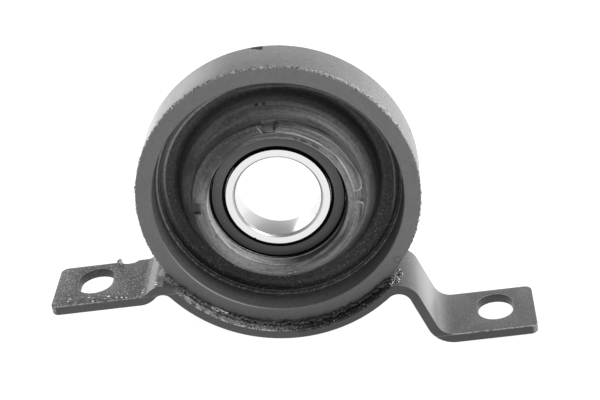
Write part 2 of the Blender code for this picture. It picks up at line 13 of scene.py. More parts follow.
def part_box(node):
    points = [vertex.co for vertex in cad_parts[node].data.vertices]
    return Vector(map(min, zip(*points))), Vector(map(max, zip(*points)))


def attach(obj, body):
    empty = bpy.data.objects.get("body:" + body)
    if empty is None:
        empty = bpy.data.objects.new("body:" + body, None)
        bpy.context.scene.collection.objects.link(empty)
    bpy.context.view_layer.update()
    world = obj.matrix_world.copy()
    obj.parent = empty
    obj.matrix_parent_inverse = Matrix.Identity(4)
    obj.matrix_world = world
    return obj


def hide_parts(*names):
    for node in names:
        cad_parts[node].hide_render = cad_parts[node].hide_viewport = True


bl_info = {
    "name": "Driveshaft centre bearing",
    "version": (1, 0, 0),
    "blender": (4, 5, 0),
    "location": "View3D > Sidebar > Centre bearing",
    "description": "Makes the pieces of a driveshaft centre bearing and its stage",
    "category": "Add Mesh",
}

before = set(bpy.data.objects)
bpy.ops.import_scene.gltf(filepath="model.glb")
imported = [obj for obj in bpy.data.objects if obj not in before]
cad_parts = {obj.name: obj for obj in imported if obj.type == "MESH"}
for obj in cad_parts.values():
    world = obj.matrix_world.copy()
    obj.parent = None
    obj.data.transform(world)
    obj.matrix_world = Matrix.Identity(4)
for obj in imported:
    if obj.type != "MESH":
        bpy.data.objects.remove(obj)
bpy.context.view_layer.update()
HOUSING = "housing"
INNER_RACE = "inner_race"
CAGE = "cage"

# Shaft axis, and the plane of the rim's front face
HUB_PROUD = 0.0030
RACE_LOW, RACE_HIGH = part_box("bearing_inner_race")
RUBBER_LOW, RUBBER_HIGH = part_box("rubber_mount")
SHAFT = Vector(
    ((RACE_LOW.x + RACE_HIGH.x) / 2, RUBBER_LOW.y + HUB_PROUD, (RACE_LOW.z + RACE_HIGH.z) / 2)
)

# Ball bearing
BORE = 0.0175
RACE_FLOOR = 0.00248
BALL = 0.003969
BALL_COUNT = 11
POCKET = BALL + 0.0003
PITCH = BORE + RACE_FLOOR + POCKET
SHOULDER = 0.0019
INNER_SHOULDER = PITCH - POCKET + SHOULDER
OUTER_SHOULDER = PITCH + POCKET - SHOULDER
LAND = INNER_SHOULDER - 0.0005
RECESS = OUTER_SHOULDER + 0.00105
RACE_OUTER = PITCH + POCKET + RACE_FLOOR
HALF_WIDTH = 0.0070
SEAL_SEAT = 0.0051
SEAL_FACE = 0.0067
SEAL_BACK = 0.0054
SEAL_BODY = LAND + 0.0015
BEARING_FRONT = RACE_LOW.y - SHAFT.y
BEARING_CENTRE = BEARING_FRONT + HALF_WIDTH
CAGE_SHEET = 0.0008
RIVET_HEAD = 0.0011
RIVET_SHANK = 0.0005

# Sleeve, rubber, ring
GAP = 0.0003
SLEEVE_BORE = RACE_OUTER + GAP
SLEEVE_OUTER = SLEEVE_BORE + 0.0012
SLEEVE_FRONT = BEARING_FRONT - 0.0015
SLEEVE_REAR = 0.0180
SLEEVE_FLANGE = SLEEVE_BORE - 0.0017
RUBBER_BORE = SLEEVE_OUTER + GAP
HUB_MOUTH = RECESS + 0.00042
HUB_EDGE = RUBBER_BORE + 0.0018
HUB_CONE = HUB_EDGE + 0.0013
HUB_CONE_AT = 0.0048
CREST = HUB_CONE + 0.0040
CREST_AT = 0.0088
GROOVE_INNER = CREST + 0.0025
GROOVE_OUTER = GROOVE_INNER + 0.0072
GROOVE_AT = 0.0174
WALL = GROOVE_OUTER + 0.0004
PARTING_AT = 0.0112
RIM_INNER = WALL + 0.0013
RUBBER_OUTER = RIM_INNER + 0.0034
RING_BORE = RUBBER_OUTER + GAP
RING_OUTER = RING_BORE + 0.0030
RING_FRONT = 0.0010
RING_REAR = 0.0235
WEB_REAR = GROOVE_AT + 0.0042
WEB_VALLEY = CREST_AT + 0.0042

# Notches in the front of the hub
NOTCH_WIDTH = 0.0050
NOTCH_CORNER = 0.0022
NOTCH_TURN = math.radians(2.7)
NOTCH_SLOPE = math.radians(39)
NOTCH_LIP = 0.0008

# Strap
STRAP_THICKNESS = 0.0040
STRAP_BORE = RING_OUTER + GAP
STRAP_MIDDLE = STRAP_BORE + STRAP_THICKNESS / 2
STRAP_LOW, STRAP_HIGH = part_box("bracket_strap")
STRAP_FRONT = STRAP_LOW.y - SHAFT.y
STRAP_REAR = STRAP_HIGH.y - SHAFT.y
SLOT_WIDTH = 0.0147
SLOT_LENGTH = 0.0202
SLOT_AT = (STRAP_FRONT + STRAP_REAR) / 2 + 0.0023
SLOT_STRAIGHT = (SLOT_LENGTH - SLOT_WIDTH) / 2
FOOT_CORNER = 0.0032
CHIP_RADIUS = 0.0046
CHIP_DEPTH = 0.0022
CHIP_FROM_BEND = 0.0078
BEND_STEP = math.radians(2)

# Curled flake of metal at the chip's left end, and the crumbs beside it
BURR_X = -0.0755
BURR_CURL = math.radians(250)
BURR_RADIUS = 0.0009
BURR_TIGHTENING = 0.0003
BURR_HALF_WIDTH = 0.0013
BURR_NARROWING = 0.0006
BURR_DRIFT = 0.0002
BURR_SHEET = 0.00012
CRUMBS_X = -0.0752

# Weld
BEAD_FROM_RING = 0.0013
BEAD_VOXEL = 0.00024

# Notches as the photograph shows them, by turn about the shaft
LEFT_NOTCH = math.radians(-92.7)
RIGHT_NOTCH = math.radians(87.3)
# Turns of the top notch's painted shadow and of its painted highlight
TOP_NOTCH_SIDE = math.radians(174)
TOP_NOTCH_LIP = math.radians(-178)

# Facets
TURN_STEPS = 288
SMALL_TURN_STEPS = 192
FILLET_FACET = 0.00016
RAGGED_SIZE = 0.0012
MERGE = 0.000001


def colour(red, green, blue):
    return (red, green, blue, 1.0)


def grey_tone(level):
    return colour(level, level, level)


class StrapSettings(bpy.types.PropertyGroup):
    """Sizes and colours of the strap."""

    edge: bpy.props.FloatProperty(
        name="Edge", description="Radius of the rolled edges", default=0.00035, unit="LENGTH"
    )
    coat: bpy.props.FloatVectorProperty(
        name="Coat",
        description="Colour of the dark coat",
        default=colour(0.125, 0.125, 0.126),
        size=4,
        subtype="COLOR",
    )
    scuff: bpy.props.FloatVectorProperty(
        name="Scuff",
        description="Colour where the coat is rubbed through",
        default=grey_tone(0.42),
        size=4,
        subtype="COLOR",
    )
    speck: bpy.props.FloatProperty(
        name="Speck", description="Size of the specks in the coat", default=0.0011, unit="LENGTH"
    )


class RingSettings(bpy.types.PropertyGroup):
    """Sizes and colours of the outer ring."""

    edge: bpy.props.FloatProperty(
        name="Edge", description="Radius of the ring's edges", default=0.0004, unit="LENGTH"
    )
    coat: bpy.props.FloatVectorProperty(
        name="Coat",
        description="Colour of the ring's coat",
        default=grey_tone(0.37),
        size=4,
        subtype="COLOR",
    )


class RubberSettings(bpy.types.PropertyGroup):
    """Sizes and colours of the moulded rubber."""

    tone: bpy.props.FloatVectorProperty(
        name="Rubber",
        description="Colour of the rubber",
        default=grey_tone(0.088),
        size=4,
        subtype="COLOR",
    )
    flash: bpy.props.FloatProperty(
        name="Flash",
        description="Height of the ragged flash on the parting line",
        default=0.00035,
        unit="LENGTH",
    )
    crumbs: bpy.props.IntProperty(
        name="Crumbs", description="Number of crumbs along the rim's outer edge", default=900
    )


class BearingSettings(bpy.types.PropertyGroup):
    """Sizes and colours of the bearing's pieces."""

    steel: bpy.props.FloatVectorProperty(
        name="Steel",
        description="Colour of the ground steel",
        default=grey_tone(0.72),
        size=4,
        subtype="COLOR",
    )
    seal: bpy.props.FloatVectorProperty(
        name="Seal",
        description="Colour of the seals",
        default=grey_tone(0.020),
        size=4,
        subtype="COLOR",
    )


class WeldSettings(bpy.types.PropertyGroup):
    """Sizes and colours of the weld beads."""

    lump: bpy.props.FloatProperty(
        name="Lump", description="Largest radius of a lump", default=0.00105, unit="LENGTH"
    )
    lumps: bpy.props.IntProperty(
        name="Lumps", description="Number of lumps in a bead", default=620
    )
    tone: bpy.props.FloatVectorProperty(
        name="Slag",
        description="Colour of the black slag",
        default=grey_tone(0.008),
        size=4,
        subtype="COLOR",
    )


class StageSettings(bpy.types.PropertyGroup):
    """The floor, the lights and the camera."""

    floor: bpy.props.FloatVectorProperty(
        name="Floor",
        description="Colour of the floor",
        default=grey_tone(0.30),
        size=4,
        subtype="COLOR",
    )
    glow: bpy.props.FloatProperty(
        name="Glow",
        description="Light that the floor itself gives, as a light table does",
        default=0.90,
    )
    walls: bpy.props.FloatProperty(
        name="Walls", description="Brightness of the studio's walls near the floor", default=1.0
    )
    lens: bpy.props.FloatProperty(
        name="Lens", description="Focal length in millimetres", default=103.11
    )


SETTINGS = {
    "bearing_strap": StrapSettings,
    "bearing_ring": RingSettings,
    "bearing_rubber": RubberSettings,
    "bearing_bearing": BearingSettings,
    "bearing_weld": WeldSettings,
    "bearing_stage": StageSettings,
}


def settings(group):
    return getattr(bpy.context.scene, group)


class Socket:
    """A node's output. Arithmetic on it adds Math nodes."""

    def __init__(self, graph, output):
        self.graph = graph
        self.output = output

    def __add__(self, other):
        return self.graph.math("ADD", self, other)

    __radd__ = __add__

    def __sub__(self, other):
        return self.graph.math("SUBTRACT", self, other)

    def __rsub__(self, other):
        return self.graph.math("SUBTRACT", other, self)

    def __mul__(self, other):
        return self.graph.math("MULTIPLY", self, other)

    __rmul__ = __mul__

    def __truediv__(self, other):
        return self.graph.math("DIVIDE", self, other)

    def __rtruediv__(self, other):
        return self.graph.math("DIVIDE", other, self)

    def __neg__(self):
        return self.graph.math("MULTIPLY", self, -1.0)

    def __lt__(self, other):
        return self.graph.math("LESS_THAN", self, other)

    def __gt__(self, other):
        return self.graph.math("GREATER_THAN", self, other)

    def __pow__(self, other):
        return self.graph.math("POWER", self, other)

    def __abs__(self):
        return self.graph.math("ABSOLUTE", self)


def pick(sockets, key):
    """The socket with this number, or the enabled one with this identifier or name."""
    if isinstance(key, int):
        return [socket for socket in sockets if socket.enabled][key]
    for socket in sockets:
        if socket.enabled and key in (socket.identifier, socket.name):
            return socket
    raise KeyError(f"no socket {key!r} among {[socket.name for socket in sockets]}")


class Graph:
    """Builds a shader tree or a geometry tree."""

    def __init__(self, tree):
        self.tree = tree

    def add(self, kind, choices=None, values=None, out=0):
        """A node: its settings first, then its sockets' values or links. Gives an output."""
        node = self.tree.nodes.new(kind)
        for name, value in (choices or {}).items():
            if name == "stops":
                self.set_stops(node.color_ramp, value)
            else:
                setattr(node, name, value)
        self.feed(node, values or {})
        return Socket(self, pick(node.outputs, out)) if node.outputs else node

    def feed(self, node, values):
        for key, value in values.items():
            socket = pick(node.inputs, key)
            if isinstance(value, Socket):
                self.tree.links.new(value.output, socket)
            else:
                socket.default_value = value

    def set_stops(self, ramp, stops):
        while len(ramp.elements) < len(stops):
            ramp.elements.new(1.0)
        for element, (position, grey) in zip(ramp.elements, stops):
            element.position = position
            element.color = grey_tone(grey)

    def other_output(self, socket, key):
        return Socket(self, pick(socket.output.node.outputs, key))

    def math(self, operation, *values):
        return self.add("ShaderNodeMath", {"operation": operation}, dict(enumerate(values)))

    def clamp(self, value):
        return self.add("ShaderNodeClamp", {}, {"Value": value})

    def ramp(self, value, *stops):
        return self.add("ShaderNodeValToRGB", {"stops": stops}, {"Fac": value})

    def spread(self, value, low, high, to_low=0.0, to_high=1.0):
        """The value from low to high, spread smoothly over another range."""
        values = {
            "Value": value,
            "From Min": low,
            "From Max": high,
            "To Min": to_low,
            "To Max": to_high,
        }
        return self.add("ShaderNodeMapRange", {"interpolation_type": "SMOOTHSTEP"}, values)

    def split(self, vector):
        x = self.add("ShaderNodeSeparateXYZ", {}, {"Vector": vector})
        return x, self.other_output(x, "Y"), self.other_output(x, "Z")

    def join(self, x, y, z):
        return self.add("ShaderNodeCombineXYZ", {}, {"X": x, "Y": y, "Z": z})


class Finish(Graph):
    """A material whose patterns read Object coordinates, which are the row frame's metres."""

    def __init__(self, name):
        self.material = bpy.data.materials.new(name)
        self.material.use_nodes = True
        super().__init__(self.material.node_tree)
        self.shader = self.tree.nodes["Principled BSDF"]
        self.place = self.add("ShaderNodeTexCoord", out="Object")
        choices = {"vector_type": "POINT"}
        values = {"Vector": self.place, "Location": -SHAFT}
        self.about_shaft = self.add("ShaderNodeMapping", choices, values)
        self.x, self.along, self.z = self.split(self.about_shaft)
        self.radius = self.math("SQRT", self.x * self.x + self.z * self.z)
        # From straight down, positive to the right, in radians
        self.turn = self.math("ARCTAN2", self.x, -self.z)

    def noise(self, size, detail=3.0, roughness=0.5, vector=None, distortion=0.0):
        values = {
            "Vector": vector or self.place,
            "Scale": 1 / size,
            "Detail": detail,
            "Roughness": roughness,
            "Distortion": distortion,
        }
        return self.add("ShaderNodeTexNoise", {}, values)

    def specks(self, size, share):
        """Round specks of uneven size: 1 inside one, 0 elsewhere."""
        choices = {"feature": "F1"}
        values = {"Vector": self.place, "Scale": 1 / size, "Randomness": 1.0}
        distance = self.add("ShaderNodeTexVoronoi", choices, values, out="Distance")
        draw, _, _ = self.split(self.other_output(distance, "Color"))
        return self.spread(distance, 0.0, 1.0, 1.0, 0.0) > 1 - share * draw**3

    def around(self, size, stretch):
        """A place vector for streaks that run round the shaft."""
        across = self.x / self.radius / stretch
        up = self.z / self.radius / stretch
        return self.join(across, up, (self.radius + self.along) / size)

    def band(self, value, middle, width):
        """1 at the middle of a band, falling smoothly to 0 at its edges."""
        return self.spread(abs(value - middle), width / 2, 0.0)

    def near_turn(self, middle, width):
        """1 at a turn in degrees, falling smoothly to 0 at the edges of a sector."""
        return self.band(self.turn, math.radians(middle), math.radians(width))

    def patches(self, size, low, high, detail=3.0, roughness=0.7):
        """Patches by chance: 0 where the noise is under low, 1 where it is over high."""
        return self.spread(self.noise(size, detail, roughness), low, high)

    def larger(self, first, second):
        return self.math("MAXIMUM", first, second)

    def ragged(self, value, edge, size=0.0012, reach=0.0006):
        """1 where the value is under an edge that wanders by chance."""
        wander = (self.noise(size, 4.0, 0.65) - 0.5) * (2 * reach)
        return self.spread(value + wander, edge + reach * 0.12, edge - reach * 0.12)

    def spot(self, reach, turn, size, along=None, soft=0.3):
        """A round mark at a radius and a turn in degrees, and at one depth where that is given."""
        angle = math.radians(turn)
        across = self.x - reach * math.sin(angle)
        up = self.z + reach * math.cos(angle)
        square = across * across + up * up
        if along is not None:
            square = square + (self.along - along) ** 2
        distance = self.math("SQRT", square)
        return self.spread(distance, size * (1 + soft), size * (1 - soft))

    def by_turn(self, *stops):
        """A tone by turn in degrees, from the top round by the left to the top again."""
        share = (self.turn + math.pi) / (2 * math.pi)
        return self.ramp(share, *[((turn + 180) / 360, grey) for turn, grey in stops])

    def blacken(self, mask):
        """Hides the shader behind a dead black one where the mask is 1."""
        black = self.tree.nodes.new("ShaderNodeBsdfPrincipled")
        values = {"Base Color": grey_tone(0.002), "Roughness": 0.9}
        self.feed(black, {**values, "Specular IOR Level": 0.05})
        first = Socket(self, self.shader.outputs["BSDF"])
        second = Socket(self, black.outputs["BSDF"])
        mixed = self.add("ShaderNodeMixShader", {}, {0: mask, 1: first, 2: second})
        self.feed(self.tree.nodes["Material Output"], {"Surface": mixed})

    def slot_distance(self, centre_x):
        """The distance from the middle line of a slot, in plan."""
        beyond = self.larger(abs(self.along - SLOT_AT) - SLOT_STRAIGHT, 0.0)
        across = self.x - centre_x
        return self.math("SQRT", across * across + beyond * beyond)

    def mix(self, factor, first, second):
        choices = {"data_type": "RGBA", "clamp_factor": True}
        return self.add("ShaderNodeMix", choices, {"Factor": factor, "A": first, "B": second})

    def bumps(self, height, distance, strength=1.0, normal=None):
        values = {"Height": height, "Distance": distance, "Strength": strength}
        if normal:
            values["Normal"] = normal
        return self.add("ShaderNodeBump", {}, values)

    def surface(self, **values):
        """Feeds the shader; a name's underscores stand for spaces."""
        self.feed(self.shader, {key.replace("_", " "): value for key, value in values.items()})
        return self.material


class Shape(Graph):
    """A geometry tree with named inputs, used through a modifier on one object."""

    def __init__(self, name):
        super().__init__(bpy.data.node_groups.new(name, "GeometryNodeTree"))
        self.tree.interface.new_socket("Geometry", in_out="INPUT", socket_type="NodeSocketGeometry")
        self.tree.interface.new_socket(
            "Geometry", in_out="OUTPUT", socket_type="NodeSocketGeometry"
        )
        self.inside = self.tree.nodes.new("NodeGroupInput")
        self.end = self.tree.nodes.new("NodeGroupOutput")

    def input(self, name, kind):
        self.tree.interface.new_socket(name, in_out="INPUT", socket_type="NodeSocket" + kind)
        return Socket(self, pick(self.inside.outputs, name))

    def start(self):
        return Socket(self, pick(self.inside.outputs, "Geometry"))

    def draw(self, low, high, seed):
        """A random number for each point."""
        values = {"Min": low, "Max": high, "Seed": seed}
        return self.add("FunctionNodeRandomValue", {"data_type": "FLOAT"}, values)

    def close(self, geometry, finish):
        made = self.add("GeometryNodeRealizeInstances", {}, {"Geometry": geometry})
        shaded = {"Geometry": made, "Shade Smooth": True}
        made = self.add("GeometryNodeSetShadeSmooth", {}, shaded)
        made = self.add("GeometryNodeSetMaterial", {}, {"Geometry": made, "Material": finish})
        self.feed(self.end, {"Geometry": made})

    def put_on(self, obj, **values):
        """Adds the tree to the object; a name's underscores stand for spaces."""
        modifier = obj.modifiers.new(self.tree.name, "NODES")
        modifier.node_group = self.tree
        wanted = {key.replace("_", " "): value for key, value in values.items()}
        for item in self.tree.interface.items_tree:
            if item.in_out == "INPUT" and item.name in wanted:
                modifier[item.identifier] = wanted.pop(item.name)
        if wanted:
            raise KeyError(f"{self.tree.name} has no input {sorted(wanted)}")


def turned_shape():
    """Turns a closed profile, whose points hold (radius, along), about the shaft axis."""
    shape = Shape("turned_about_shaft")
    profile = shape.start()
    steps = shape.input("Steps", "Int")
    ragged_size = shape.input("Ragged Size", "Float")
    axis = shape.input("Axis", "Vector")
    finish = shape.input("Finish", "Material")
    count = shape.add(
        "GeometryNodeAttributeDomainSize", {"component": "MESH"}, {"Geometry": profile}
    )
    grid = shape.add(
        "GeometryNodeMeshGrid", {}, {"Vertices X": count + 1, "Vertices Y": steps + 1}
    )
    index = shape.add("GeometryNodeInputIndex")
    row = shape.math("FLOOR", (index + 0.5) / (steps + 1))
    column = index - row * (steps + 1)
    wrapped = shape.math("MODULO", row + 0.5, count)
    place = shape.add(
        "GeometryNodeSampleIndex",
        {"data_type": "FLOAT_VECTOR"},
        {"Geometry": profile, "Value": shape.add("GeometryNodeInputPosition"), "Index": wrapped},
    )
    ragged = shape.add(
        "GeometryNodeSampleIndex",
        {"data_type": "FLOAT"},
        {
            "Geometry": profile,
            "Value": shape.add(
                "GeometryNodeInputNamedAttribute", {"data_type": "FLOAT"}, {"Name": "ragged"}
            ),
            "Index": wrapped,
        },
    )
    radius, along, _ = shape.split(place)
    angle = column / steps * (2 * math.pi)
    at = shape.join(
        radius * shape.math("COSINE", angle), along, -(radius * shape.math("SINE", angle))
    )
    made = shape.add(
        "GeometryNodeStoreNamedAttribute",
        {"data_type": "FLOAT", "domain": "POINT"},
        {"Geometry": grid, "Name": "ragged", "Value": ragged},
    )
    made = shape.add("GeometryNodeSetPosition", {}, {"Geometry": made, "Position": at})
    made = shape.add("GeometryNodeMergeByDistance", {}, {"Geometry": made, "Distance": MERGE})
    height = shape.add(
        "ShaderNodeTexNoise",
        {},
        {
            "Vector": shape.add("GeometryNodeInputPosition"),
            "Scale": 1 / ragged_size,
            "Detail": 2.0,
        },
    )
    amount = shape.add(
        "GeometryNodeInputNamedAttribute", {"data_type": "FLOAT"}, {"Name": "ragged"}
    )
    offset = shape.add(
        "ShaderNodeVectorMath",
        {"operation": "SCALE"},
        {"Vector": shape.add("GeometryNodeInputNormal"), "Scale": (height * 2 - 1) * amount},
    )
    made = shape.add("GeometryNodeSetPosition", {}, {"Geometry": made, "Offset": offset})
    made = shape.add("GeometryNodeSetPosition", {}, {"Geometry": made, "Offset": axis})
    shape.close(made, finish)
    return shape


def set_round_shape():
    """Sets copies of a piece round the shaft."""
    shape = Shape("set_round_the_shaft")
    piece = shape.input("Piece", "Object")
    count = shape.input("Count", "Int")
    start = shape.input("Start", "Float")
    sweep = shape.input("Sweep", "Float")
    axis = shape.input("Axis", "Vector")
    finish = shape.input("Finish", "Material")
    source = shape.add("GeometryNodeObjectInfo", {}, {"Object": piece}, out="Geometry")
    points = shape.add("GeometryNodePoints", {}, {"Count": count, "Position": axis})
    index = shape.add("GeometryNodeInputIndex")
    turn = shape.join(0.0, start + index / count * sweep, 0.0)
    made = shape.add(
        "GeometryNodeInstanceOnPoints",
        {},
        {"Points": points, "Instance": source, "Rotation": turn},
    )
    shape.close(made, finish)
    return shape


def crumb_shape():
    """Scatters uneven crumbs along an arc about the shaft."""
    shape = Shape("crumbs_along_a_path")
    count = shape.input("Count", "Int")
    first = shape.input("First Turn", "Float")
    last = shape.input("Last Turn", "Float")
    radius = shape.input("Radius", "Float")
    deep = shape.input("Radial Spread", "Float")
    along = shape.input("Along", "Float")
    wide = shape.input("Along Spread", "Float")
    small = shape.input("Smallest", "Float")
    large = shape.input("Largest", "Float")
    flat = shape.input("Flatness", "Float")
    wander = shape.input("Wander", "Float")
    seed = shape.input("Seed", "Int")
    axis = shape.input("Axis", "Vector")
    finish = shape.input("Finish", "Material")
    points = shape.add("GeometryNodePoints", {}, {"Count": count})
    index = shape.add("GeometryNodeInputIndex")
    share = (index + shape.draw(0.0, 1.0, seed)) / count
    turn = first + (last - first) * share
    reach = radius + deep * shape.draw(-1.0, 1.0, seed + 1) * shape.draw(0.0, 1.0, seed + 2)
    depth = along + wide * shape.draw(-1.0, 1.0, seed + 3)
    for shift, pace in ((13.0, 9.0), (57.0, 23.0)):
        place = {"Vector": shape.join(turn * pace, shift, 0.0), "Scale": 1.0, "Detail": 1.0}
        depth = depth + wander * (shape.add("ShaderNodeTexNoise", {}, place) - 0.5) * 2
        place["Vector"] = shape.join(turn * pace, shift, 9.0)
        reach = reach + wander * (shape.add("ShaderNodeTexNoise", {}, place) - 0.5)
    at = shape.join(reach * shape.math("SINE", turn), depth, -(reach * shape.math("COSINE", turn)))
    points = shape.add("GeometryNodeSetPosition", {}, {"Geometry": points, "Position": at})
    points = shape.add("GeometryNodeSetPosition", {}, {"Geometry": points, "Offset": axis})
    ball = shape.add("GeometryNodeMeshIcoSphere", {}, {"Radius": 1.0, "Subdivisions": 2})
    size = small + (large - small) * shape.draw(0.0, 1.0, seed + 4) ** 2
    scale = shape.join(*[size * shape.draw(flat, 1.0, seed + step) for step in (5, 6, 7)])
    spin = shape.join(*[shape.draw(0.0, 6.0, seed + step) for step in (8, 9, 10)])
    made = shape.add(
        "GeometryNodeInstanceOnPoints",
        {},
        {"Points": points, "Instance": ball, "Rotation": spin, "Scale": scale},
    )
    shape.close(made, finish)
    return shape


def ball_shape():
    """A ball of the bearing at its turn on the pitch circle."""
    shape = Shape("ball_on_pitch_circle")
    radius = shape.input("Radius", "Float")
    at = shape.input("At", "Vector")
    finish = shape.input("Finish", "Material")
    ball = shape.add("GeometryNodeMeshIcoSphere", {}, {"Radius": radius, "Subdivisions": 5})
    made = shape.add("GeometryNodeSetPosition", {}, {"Geometry": ball, "Offset": at})
    shape.close(made, finish)
    return shape


TREES = {}


def tree(make):
    """Each geometry tree is built once."""
    if make not in TREES:
        TREES[make] = make()
    return TREES[make]


def new_object(name, mesh):
    obj = bpy.data.objects.new(name, mesh)
    bpy.context.scene.collection.objects.link(obj)
    return obj


def empty_holder(name):
    """An object without a shape of its own, for a geometry tree."""
    return new_object(name, bpy.data.meshes.new(name))


def plain(obj, name):
    """The object's evaluated shape as a plain mesh object; the source goes."""
    graph = bpy.context.evaluated_depsgraph_get()
    mesh = bpy.data.meshes.new_from_object(obj.evaluated_get(graph), depsgraph=graph)
    bpy.data.objects.remove(obj)
    mesh.name = name
    if not mesh.polygons:
        raise RuntimeError(f"{name} came out empty")
    return new_object(name, mesh)


def object_from(name, shape):
    """An object that holds a bmesh, which is freed."""
    mesh = bpy.data.meshes.new(name)
    shape.to_mesh(mesh)
    shape.free()
    return new_object(name, mesh)


def joined(name, parts):
    """One object that holds the parts' meshes; the parts go."""
    shape = bmesh.new()
    for part in parts:
        shape.from_mesh(part.data)
        bpy.data.objects.remove(part)
    return object_from(name, shape)


def bridge(shape, rings):
    """Joins rings of as many points each by side faces, and closes the first and the last."""
    for here, after in zip(rings, rings[1:]):
        for i, point in enumerate(here):
            j = (i + 1) % len(here)
            shape.faces.new((point, here[j], after[j], after[i]))
    shape.faces.new(rings[0])
    shape.faces.new(rings[-1])


def face_outwards(mesh):
    shape = bmesh.new()
    shape.from_mesh(mesh)
    bmesh.ops.remove_doubles(shape, verts=shape.verts, dist=MERGE)
    bmesh.ops.recalc_face_normals(shape, faces=shape.faces)
    shape.to_mesh(mesh)
    shape.free()


def smooth(mesh, angle=32):
    mesh.shade_smooth()
    mesh.set_sharp_from_angle(angle=math.radians(angle))


def finished(piece, body, slot, *nodes):
    """Hands a piece to its CAD body, and hides the nodes that it stands for."""
    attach(piece, body)
    if nodes:
        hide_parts(*nodes)
    return piece


def rounded(corners):
    """Points (radius, along, ragged) of a closed outline whose corners have fillets."""
    points = []
    count = len(corners)
    for i, corner in enumerate(corners):
        across, along, fillet = corner[:3]
        ragged = corner[3] if len(corner) > 3 else 0.0
        here = complex(across, along)
        if not fillet:
            points.append((across, along, ragged))
            continue
        before = complex(*corners[i - 1][:2]) - here
        after = complex(*corners[(i + 1) % count][:2]) - here
        before_unit = before / abs(before)
        after_unit = after / abs(after)
        cosine = (before_unit * after_unit.conjugate()).real
        half = math.acos(max(-1.0, min(1.0, cosine))) / 2
        cut = min(fillet / math.tan(half), 0.49 * abs(before), 0.49 * abs(after))
        centre = here + (before_unit + after_unit) / abs(before_unit + after_unit) * (
            cut / math.cos(half)
        )
        start = here + before_unit * cut - centre
        end = here + after_unit * cut - centre
        turn = math.atan2((end / start).imag, (end / start).real)
        steps = max(3, math.ceil(abs(start) * abs(turn) / FILLET_FACET))
        for step in range(steps + 1):
            point = centre + start * complex(
                math.cos(turn * step / steps), math.sin(turn * step / steps)
            )
            points.append((point.real, point.imag, ragged))
    return points


def turned(name, corners, finish, steps=TURN_STEPS, sharp=32):
    """A closed profile of (radius, along, fillet, ragged) turned about the shaft axis."""
    points = rounded(corners)
    mesh = bpy.data.meshes.new(name)
    mesh.from_pydata([(radius, along, 0) for radius, along, _ in points], [], [])
    ragged = mesh.attributes.new("ragged", "FLOAT", "POINT")
    ragged.data.foreach_set("value", [amount for _, _, amount in points])
    obj = new_object(name + "_profile", mesh)
    tree(turned_shape).put_on(
        obj, Steps=steps, Ragged_Size=RAGGED_SIZE, Axis=SHAFT, Finish=finish
    )
    piece = plain(obj, name)
    face_outwards(piece.data)
    smooth(piece.data, sharp)
    return piece


def cut_out(piece, cutter):
    """Cuts another object out of a piece, and deletes the cutter."""
    cut = piece.modifiers.new("cut", "BOOLEAN")
    cut.operation = "DIFFERENCE"
    cut.solver = "EXACT"
    cut.object = cutter
    name = piece.name
    made = plain(piece, name + "_cut")
    bpy.data.objects.remove(cutter)
    made.name = name
    return made


def at_bearing(corners):
    """Moves a profile from the bearing's middle plane to its place on the shaft."""
    return [(corner[0], corner[1] + BEARING_CENTRE, *corner[2:]) for corner in corners]


def raceway(sign):
    """The groove that the balls run in, from the rear to the front."""
    chord = math.sqrt(POCKET**2 - (POCKET - SHOULDER) ** 2)
    reach = math.asin(chord / POCKET)
    points = []
    steps = 16
    for step in range(steps + 1):
        angle = reach * (1 - 2 * step / steps)
        points.append((PITCH + sign * POCKET * math.cos(angle), POCKET * math.sin(angle), 0))
    return points


def shaded(tone, factor):
    return [channel * factor for channel in tone[:3]] + [1.0]


